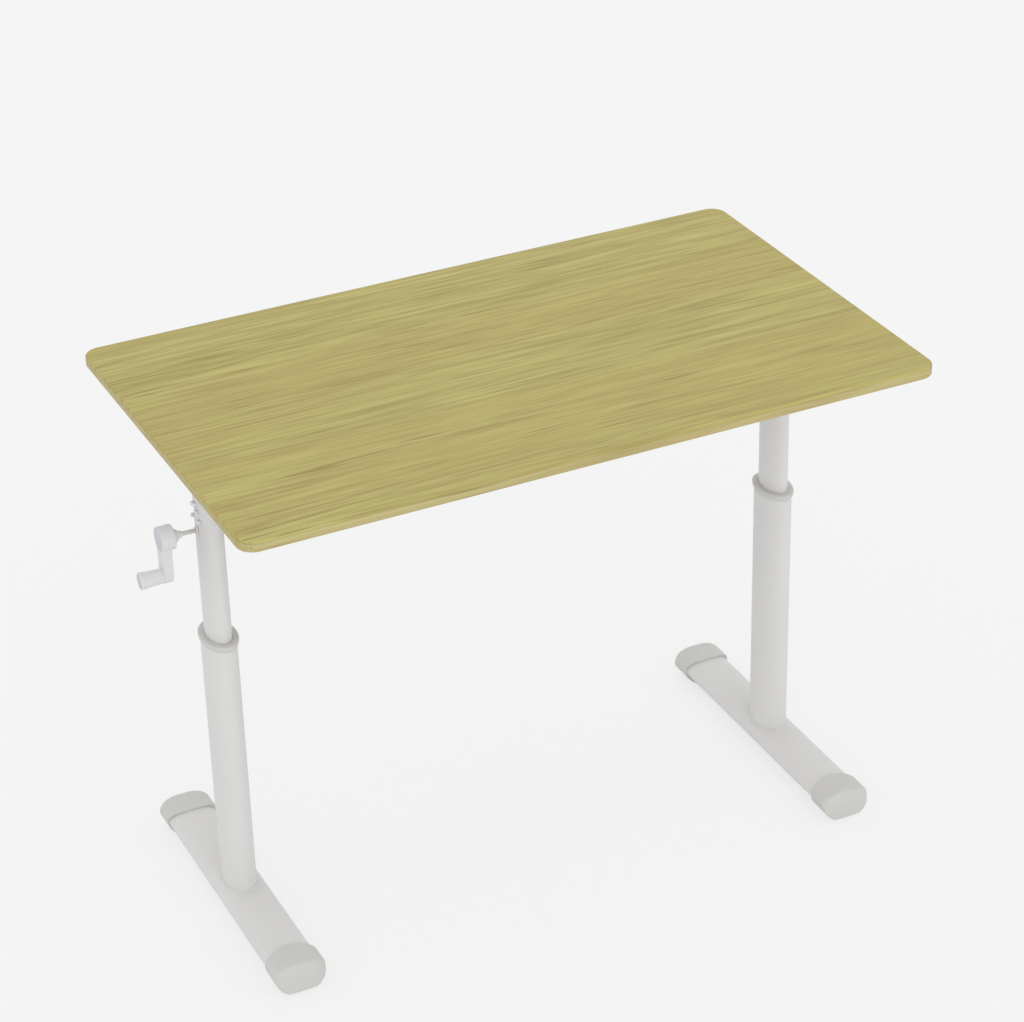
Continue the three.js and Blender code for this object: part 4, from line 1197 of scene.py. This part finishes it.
@dataclass
class Foot:
    """One foot: the oval tube, its two end caps and the glides."""

    side: Side
    half_width: float = 35.0
    half_height: float = 18.0
    middle: float = 26.0
    half_length: float = 208.0
    cap_seam: float = 192.0
    cap_seam_bow: float = 10.0
    cap_half_width: float = 38.6
    cap_widest: float = 30.0
    cap_top: float = 47.2
    cap_sole: float = 21.0
    cap_sole_z: float = 4.0
    cap_end: float = 235.0
    cap_levels: tuple[tuple[float, float, float], ...] = (
        (3.0, 0.0, 5.5),
        (20.0, 0.4, 8.5),
        (34.0, 1.6, 15.0),
        (41.0, 3.4, 20.0),
        (45.0, 6.4, 24.0),
        (47.4, 10.0, 26.0),
    )
    cap_gap: float = 0.15
    glide_at: float = 201.0

    @property
    def body(self) -> str:
        """The body that the foot belongs to."""
        return f"{self.side.label}_base"

    def tube(self) -> None:
        """The oval tube."""

        def section(inset: float, y: float) -> Ring:
            """The tube's upright section."""
            flat = oval(self.half_width - inset, self.half_height - inset, 0)
            return [Vector((point.x, y, self.middle + point.y)) for point in flat]

        end = self.half_length
        form = Form(Matrix.Translation(self.side.middle))
        form.loft([section(0, -end), section(0, end), section(2, end), section(2, -end)], loop=True)
        tube = form.finish(f"{self.side.label}_foot_oval", PAINT)
        settle(tube, self.body, "frame_paint", f"{self.side.label}_foot_tube")

    def nose(self, x: float, z: float) -> float:
        """How far out the cap's end face lies at a point of its section.

        Args:
            x: the point's place across the foot.
            z: its height.

        Returns:
            The distance from the leg: least where the nose rounds off towards a side or the top.
        """
        lean, rounding = self.cap_levels[-1][1:]
        for low, high in zip(self.cap_levels, self.cap_levels[1:]):
            if z <= high[0]:
                share = max(0.0, (z - low[0]) / (high[0] - low[0]))
                lean = low[1] + (high[1] - low[1]) * share
                rounding = low[2] + (high[2] - low[2]) * share
                break
        across = min(1.0, abs(x) / (self.cap_half_width + 0.6))
        return self.cap_end - lean - rounding * (1 - math.sqrt(1 - across**3))

    def cap_outline(self) -> list[tuple[float, float]]:
        """The cap's section: a domed top, sides that curve in and a flat sole."""
        half, sole, low = self.cap_half_width, self.cap_sole, self.cap_sole_z
        rise = self.cap_top - self.cap_widest
        dome = [
            (half * math.cos(turn), self.cap_widest + rise * math.sin(turn))
            for turn in (math.pi * step / 48 for step in range(49))
        ]
        side = []
        for step in range(1, 13):
            share = step / 12
            start, bend, end = (1 - share) ** 2, 2 * share * (1 - share), share**2
            x = half * start + (half - 2) * bend + sole * end
            side.append((x, self.cap_widest * start + (low + 8) * bend + low * end))
        base = [(sole * (step / 6 - 1), low) for step in range(1, 12)]
        return [*dome, *[(-x, z) for x, z in side], *base, *reversed(side)]

    def cap(self, end: End) -> None:
        """One end cap: a sleeve with a bowed edge over the tube, and a blunt rounded nose."""
        turn = Matrix.Rotation(0 if end is End.REAR else math.pi, 4, "Z")
        form = Form(Matrix.Translation(self.side.middle) @ turn)
        outline = self.cap_outline()
        middle = self.middle

        def seam(x: float) -> float:
            """Where the cap starts along the foot."""
            return self.cap_seam - self.cap_seam_bow * (1 - (x / self.cap_half_width) ** 2)

        def drawn(share: float, back: float) -> Ring:
            """The outline drawn in towards the tube's middle, at the nose less a distance."""
            ring = []
            for x, z in outline:
                inner = Vector((x * share, 0, middle + (z - middle) * share))
                inner.y = self.nose(inner.x, inner.z) - back * min(1.0, 0.4 + (z - 4) / 40)
                ring.append(inner)
            return ring

        def sleeve(y: float | None) -> Ring:
            """A ring on the tube's skin, at a place along the foot or at the cap's edge."""
            ring = []
            for x, z in outline:
                away = math.atan2((z - middle) / self.half_height, x / self.half_width)
                across = (self.half_width + self.cap_gap) * math.cos(away)
                rise = (self.half_height + self.cap_gap) * math.sin(away)
                ring.append(Vector((across, y if y else seam(x), middle + rise)))
            return ring

        crease = drawn(1.0, 3.0)
        rings = [sleeve(self.half_length + 0.4), sleeve(None)]
        lips = ((0.0, 0.5), (0.012, 0.12), (0.03, 0.0), (0.25, 0.0), (0.5, 0.0), (0.75, 0.0))
        for share, lip in lips:
            ring = []
            for (x, z), far in zip(outline, crease):
                away = Vector((x, 0, z - middle)).normalized() * lip
                ring.append(Vector((x, seam(x) + (far.y - seam(x)) * share, z)) - away)
            rings.append(ring)
        rings.append(crease)
        for step in range(1, 6):
            over = math.radians(step * 18)
            rings.append(drawn(1 - 0.075 * (1 - math.cos(over)), 3.0 * (1 - math.sin(over))))
        rings += [drawn(share, 0.0) for share in (0.85, 0.75, 0.6, 0.45, 0.3, 0.15, 0.03)]
        form.loft(rings)
        name = f"{self.side.label}_{end.label}_foot_cap"
        cap = form.finish(f"{name}_shell", TRIM, sharp=50)
        settle(cap, self.body, "trim_plastic", name)

    def glide(self, end: End) -> None:
        """One levelling glide: a steel stud in a disc with a ribbed rim."""
        name = f"{self.side.label}_{end.label}_glide"
        middle = self.side.middle + Vector((0, end.value * self.glide_at, 0))
        ribs = 48
        rings = []
        for radius, z, depth in (
            (12.4, 0.0, 0),
            (12.9, 0.4, 1),
            (12.9, 3.0, 1),
            (12.3, 3.4, 0),
            (4.0, 3.4, 0),
        ):
            ring = []
            for index, point in enumerate(oval(1, 1, z, ribs * 4)):
                cut = 0.35 * depth * (index % 4 in (0, 1))
                ring.append(Vector((point.x * (radius - cut), point.y * (radius - cut), z)))
            rings.append(ring)
        pad = Form(Matrix.Translation(middle))
        pad.loft(rings)
        disc = pad.finish(f"{name}_disc", RUBBER)
        settle(disc, f"{name}_foot", "glide_rubber", name)
        stud = Form(Matrix.Translation(middle))
        stud.turn(Axis.Z, [(0, 3.3), (4.0, 3.3), (4.0, 24.0), (3.2, 25.0), (0, 25.0)], count=32)
        settle(stud.finish(f"{name}_stud", ZINC), f"{name}_foot", "zinc_steel")

    def build(self) -> None:
        """Makes the tube, the caps and the glides."""
        self.tube()
        for end in End:
            self.cap(end)
            self.glide(end)


# Crank


@dataclass
class Crank:
    """The hand crank outside the left leg, and the grip that turns on it."""

    throw: float = 55.5
    outer: float = -504.9
    thickness: float = 13.0
    head_outer: float = -505.8
    head_inner: float = -485.6
    head_radius: float = 17.4
    top_radius: float = 12.8
    end_radius: float = 11.0
    face_radius: float = 15.9
    hub_start: float = -486.0
    grip_start: float = -504.95
    grip_end: float = -534.0
    cap_end: float = -537.5
    shaft_end: float = LEG_X + 12.45

    @property
    def axis(self) -> tuple[float, float, float]:
        """A point of the shaft's axis."""
        return (SHIFT, LEG_Y, SHAFT_Z)

    @property
    def grip_axis(self) -> tuple[float, float, float]:
        """A point of the grip's axis."""
        return (SHIFT, LEG_Y, SHAFT_Z - self.throw)

    def arm_outline(self, inset: float, x: float) -> Ring:
        """The tapered outline of the arm, drawn in by an inset."""
        lean = math.asin((self.top_radius - self.end_radius) / self.throw)
        points = []
        for radius, drop, start, sweep in (
            (self.top_radius, 0.0, -lean, math.pi + 2 * lean),
            (self.end_radius, self.throw, math.pi + lean, math.pi - 2 * lean),
        ):
            for step in range(25):
                turn = start + sweep * step / 24
                y = (radius - inset) * math.cos(turn)
                points.append(Vector((x, y, (radius - inset) * math.sin(turn) - drop)))
        return points

    def arm(self) -> None:
        """The moulded arm with its round head."""
        soft = 0.7
        turns = [math.radians(step * 18) for step in range(6)]
        outer = [
            (soft * (1 - math.sin(turn)), self.outer + soft * (1 - math.cos(turn)))
            for turn in turns
        ]
        inner = [(inset, 2 * self.outer + self.thickness - x) for inset, x in reversed(outer)]
        form = Form(Matrix.Translation(self.axis))
        flat = soft + 0.8
        stations = [(flat, self.outer), *outer, *inner, (flat, self.outer + self.thickness)]
        form.loft([self.arm_outline(inset, x) for inset, x in stations])
        arm = form.finish("crank_arm_moulding", CRANK_PLASTIC)
        settle(arm, "crank", "crank_plastic", "crank_arm")
        head = Form()
        radius = self.head_radius
        front, back = self.head_outer, self.head_inner
        head.turn(Axis.X, rim([
            (0, front + 0.8),
            (self.face_radius + 0.15, front + 0.8),
            (self.face_radius + 0.15, front),
            (radius - 0.2, front),
            (radius, front + 0.7),
            (radius, back - 1.4),
            (radius - 0.6, back - 0.5),
            (radius - 1.6, back),
            (0, back),
        ]), self.axis, 96)
        settle(head.finish("crank_head", CRANK_PLASTIC), "crank", "crank_plastic")

    def face(self) -> None:
        """The pale dished disc that closes the head."""
        front = self.head_outer
        form = Form().turn(Axis.X, rim([
            (0, front + 0.8),
            (self.face_radius, front + 0.8),
            (self.face_radius, front + 0.3),
            (self.face_radius - 1.2, front + 0.15),
            (self.face_radius - 2.4, front + 0.5),
            (self.face_radius * 0.5, front + 0.62),
            (0, front + 0.65),
        ]), self.axis, 96)
        disc = form.finish("crank_face_disc", CRANK_CAP)
        settle(disc, "crank", "crank_cap_plastic", "crank_face_cap")

    def hub(self) -> None:
        """The stepped hub between the head and the leg."""
        start = self.hub_start
        form = Form().turn(Axis.X, rim([
            (0, start),
            (11.6, start),
            (11.6, start + 1.4),
            (9.8, start + 1.7),
            (9.7, start + 4.0),
            (8.2, start + 4.4),
            (8.0, start + 6.6),
            (5.2, start + 7.0),
            (5.0, start + 12.0),
            (4.5, start + 12.6),
            (0, start + 12.6),
        ]), self.axis, 96)
        settle(form.finish("crank_hub_steps", CRANK_PLASTIC), "crank", "crank_plastic", "crank_hub")

    def grip(self) -> None:
        """The flared grip, its end cap and the pin that it turns on."""
        form = Form().turn(Axis.X, [
            (3.1, self.grip_start),
            (10.4, self.grip_start),
            (10.5, self.grip_start - 0.1),
            (10.5, self.grip_start - 8.0),
            (10.9, self.grip_start - 17.0),
            (11.8, self.grip_end + 1.0),
            (12.0, self.grip_end - 1.0),
            (11.7, self.cap_end + 1.2),
            (11.0, self.cap_end + 0.5),
            (9.9, self.cap_end + 0.3),
            (9.5, self.cap_end + 0.7),
            (9.5, self.grip_end),
            (6.6, self.grip_end),
            (6.6, self.grip_end + 7.1),
            (3.1, self.grip_end + 7.1),
        ], self.grip_axis, 96)
        settle(form.finish("grip_sleeve", CRANK_PLASTIC), "grip", "crank_plastic", "crank_grip")
        cap = Form().turn(Axis.X, rim([
            (0, self.cap_end),
            (7.6, self.cap_end + 0.15),
            (9.2, self.cap_end + 0.7),
            (9.3, self.grip_end - 0.2),
            (6.2, self.grip_end - 0.2),
            (6.2, self.grip_end + 3.0),
            (0, self.grip_end + 3.0),
        ]), self.grip_axis, 96)
        settle(cap.finish("grip_end_plug", CRANK_CAP), "grip", "crank_cap_plastic", "grip_end_cap")
        dress("grip_pin", STEEL)

    def shaft(self) -> None:
        """The hex shaft that runs across both legs, with chamfered ends."""
        full = HEX_FLATS / math.sqrt(3)
        slim = full - 0.5
        start, end = self.outer + 4.8, self.shaft_end
        turns = [math.radians(60 * step) for step in range(6)]
        form = Form(Matrix.Translation(self.axis))
        form.loft([
            [Vector((x, radius * math.sin(turn), radius * math.cos(turn))) for turn in turns]
            for x, radius in ((start, slim), (start + 0.6, full), (end - 0.6, full), (end, slim))
        ])
        shaft = form.finish("hex_shaft", STEEL)
        bevel(shaft, 0.25)
        settle(shaft, "crank", "steel", "cross_shaft")

    def build(self) -> None:
        """Makes the crank from the leg outwards."""
        self.shaft()
        self.hub()
        self.arm()
        self.face()
        self.grip()


# Mechanism inside the legs


@dataclass
class Mechanism:
    """What is inside one leg, and the bushes in its wall."""

    side: Side
    core: float = 4.9
    thread_radius: float = 6.0
    pitch: float = 4.0
    thread_low: float = 207.0
    thread_high: float = 584.0
    wall_face: float = 17.0

    def lead_screw(self) -> None:
        """The lead screw: its core, and a thread made by a pattern."""
        label, body = self.side.label, f"{self.side.label}_screw"
        middle = self.side.middle
        core = Form(Matrix.Translation(middle))
        core.turn(Axis.Z, rim([
            (0, 205.0),
            (self.core, 205.0),
            (self.core, 586.0),
            (6.0, 586.0),
            (6.0, 589.4),
            (4.0, 589.4),
            (4.0, 604.5),
            (3.0, 604.5),
            (3.0, 610.8),
            (0, 610.8),
        ]), count=40)
        made = core.finish(f"{label}_screw_core", SCREW_STEEL)
        settle(made, body, "steel", f"{label}_lead_screw")
        length = self.thread_high - self.thread_low
        ridge = Thread().run(
            f"{label}_screw_thread",
            None,
            rotations=length / self.pitch,
            radius=(self.thread_radius - 1.1) * MM,
            length=length * MM,
            ridge=1.05 * MM,
            centre=(middle + Vector((0, 0, self.thread_low))) * MM,
            material=SCREW_STEEL.material(),
        )
        settle(ridge, body, "steel")

    def bush(self, face: int, name: str) -> None:
        """One flanged bush round the shaft, in the wall that faces -X or +X."""
        wall = self.wall_face
        profile = [
            (3.8, wall - 1.3),
            (4.6, wall - 1.3),
            (4.6, wall + 0.2),
            (6.2, wall + 0.2),
            (6.2, wall + 1.6),
            (5.6, wall + 2.3),
            (3.8, wall + 2.3),
        ]
        turned = [(radius, face * along) for radius, along in profile]
        centre = tuple(self.side.middle + Vector((0, 0, SHAFT_Z)))
        bush = Form().turn(Axis.X, turned, centre, 64).finish(f"{name}_ring", BUSH_NYLON)
        settle(bush, "top_frame", "bush_nylon", name)

    def dress(self) -> None:
        """Gives the pieces that keep their own solids their finishes."""
        label = self.side.label
        dressed = {
            ZINC: ["screw_tube", "front_foot_bolt", "rear_foot_bolt"],
            CAST: ["gearbox_base", "gearbox_cover"],
            SCREW_STEEL: ["screw_gear", "shaft_gear"],
            NYLON: ["screw_nut", "slide_bush"],
        }
        for finish, pieces in dressed.items():
            for piece in pieces:
                dress(f"{label}_{piece}", finish)

    def build(self) -> None:
        """Makes the lead screw and the bushes, and dresses the rest."""
        self.lead_screw()
        if self.side is Side.LEFT:
            self.bush(-1, "left_outer_shaft_bush")
            self.bush(1, "left_inner_shaft_bush")
        else:
            self.bush(-1, "right_inner_shaft_bush")
        self.dress()


# Studio


@dataclass
class Studio:
    """The pale floor, the soft light and the camera."""

    backdrop: tuple[int, int, int] = (244, 244, 244)
    sky: float = 0.98
    key_strength: float = 0.46
    key_spread: float = 60.0
    key_tilt: tuple[float, float] = (66.0, -10.0)
    floor_reach: float = 30.0
    lens: float = 105.152
    yaw: float = 25.294
    pitch: float = 29.678
    roll: float = -1.571
    position: tuple[float, float, float] = (-1522.78, -3272.43, 2590.95)

    def camera(self) -> None:
        """The camera, at the photograph's viewing angle."""
        yaw, pitch, roll = (math.radians(turn) for turn in (self.yaw, self.pitch, self.roll))
        ahead = Vector((
            math.sin(yaw) * math.cos(pitch),
            math.cos(yaw) * math.cos(pitch),
            -math.sin(pitch),
        ))
        right = Vector((math.cos(yaw), -math.sin(yaw), 0))
        up = right.cross(ahead)
        level = math.cos(roll) * right + math.sin(roll) * up
        upright = math.cos(roll) * up - math.sin(roll) * right
        data = bpy.data.cameras.new("camera")
        data.lens = self.lens
        data.sensor_width = 36.0
        data.sensor_fit = "HORIZONTAL"
        data.clip_start = 0.05
        data.clip_end = 100.0
        camera = place("camera", data)
        turned = Matrix((level, upright, -ahead)).transposed().to_4x4()
        camera.matrix_world = Matrix.Translation(Vector(self.position) * MM) @ turned
        bpy.context.scene.camera = camera

    def seen(self, board: Board) -> Socket:
        """One for rays from the camera and for those that glass or metal sends on."""
        path = board.node("ShaderNodeLightPath").outputs
        seen = Socket(board, path["Is Camera Ray"]) + Socket(board, path["Is Glossy Ray"])
        return seen + Socket(board, path["Is Transmission Ray"])

    def world(self) -> None:
        """An even sky that lights the desk, and that shows as the backdrop's colour."""
        world = bpy.data.worlds.new("sky")
        board = blank(world)
        white = {"Color": (1.0, 1.0, 1.0, 1.0), "Strength": self.sky}
        mix = board.out("ShaderNodeMixShader", {
            0: self.seen(board),
            1: board.out("ShaderNodeBackground", white),
            2: board.out("ShaderNodeBackground", {"Color": linear(*self.backdrop)}),
        })
        board.node("ShaderNodeOutputWorld", None, {"Surface": mix})
        bpy.context.scene.world = world

    def key(self) -> None:
        """A wide soft sun from the front."""
        data = bpy.data.lights.new("key", "SUN")
        data.energy = self.key_strength
        data.angle = math.radians(self.key_spread)
        tilt, turn = (math.radians(angle) for angle in self.key_tilt)
        place("key", data).rotation_euler = (tilt, 0, turn)

    def floor(self) -> None:
        """The pale floor, which keeps a soft shadow and is clear from below."""
        mesh = bpy.data.meshes.new("floor")
        reach = self.floor_reach
        corners = [(-reach, -reach, 0), (reach, -reach, 0), (reach, reach, 0), (-reach, reach, 0)]
        mesh.from_pydata(corners, [], [(0, 1, 2, 3)])
        floor = place("floor", mesh)
        material = bpy.data.materials.new("floor")
        board = blank(material)
        pale = {"Color": linear(*self.backdrop)}
        lit = board.out("ShaderNodeMixShader", {
            0: self.seen(board) * 0.8,
            1: board.out("ShaderNodeBsdfDiffuse", pale),
            2: board.out("ShaderNodeEmission", pale),
        })
        shown = board.out("ShaderNodeMixShader", {
            0: board.node("ShaderNodeNewGeometry").outputs["Backfacing"],
            1: lit,
            2: board.out("ShaderNodeBsdfTransparent"),
        })
        board.node("ShaderNodeOutputMaterial", None, {"Surface": shown})
        mesh.materials.append(material)

    def build(self) -> None:
        """Sets the view, the camera, the light and the floor."""
        bpy.context.scene.view_settings.view_transform = "Standard"
        self.camera()
        self.world()
        self.key()
        self.floor()


def main() -> None:
    """Builds the desk over its frame."""
    logging.basicConfig(level=logging.INFO, format="%(name)s: %(message)s")
    Studio().build()
    Worktop().build()
    UnderFrame().build()
    for side in Side:
        Leg(side).build()
        Foot(side).build()
        Mechanism(side).build()
    Crank().build()


if __name__ == "__main__":
    main()
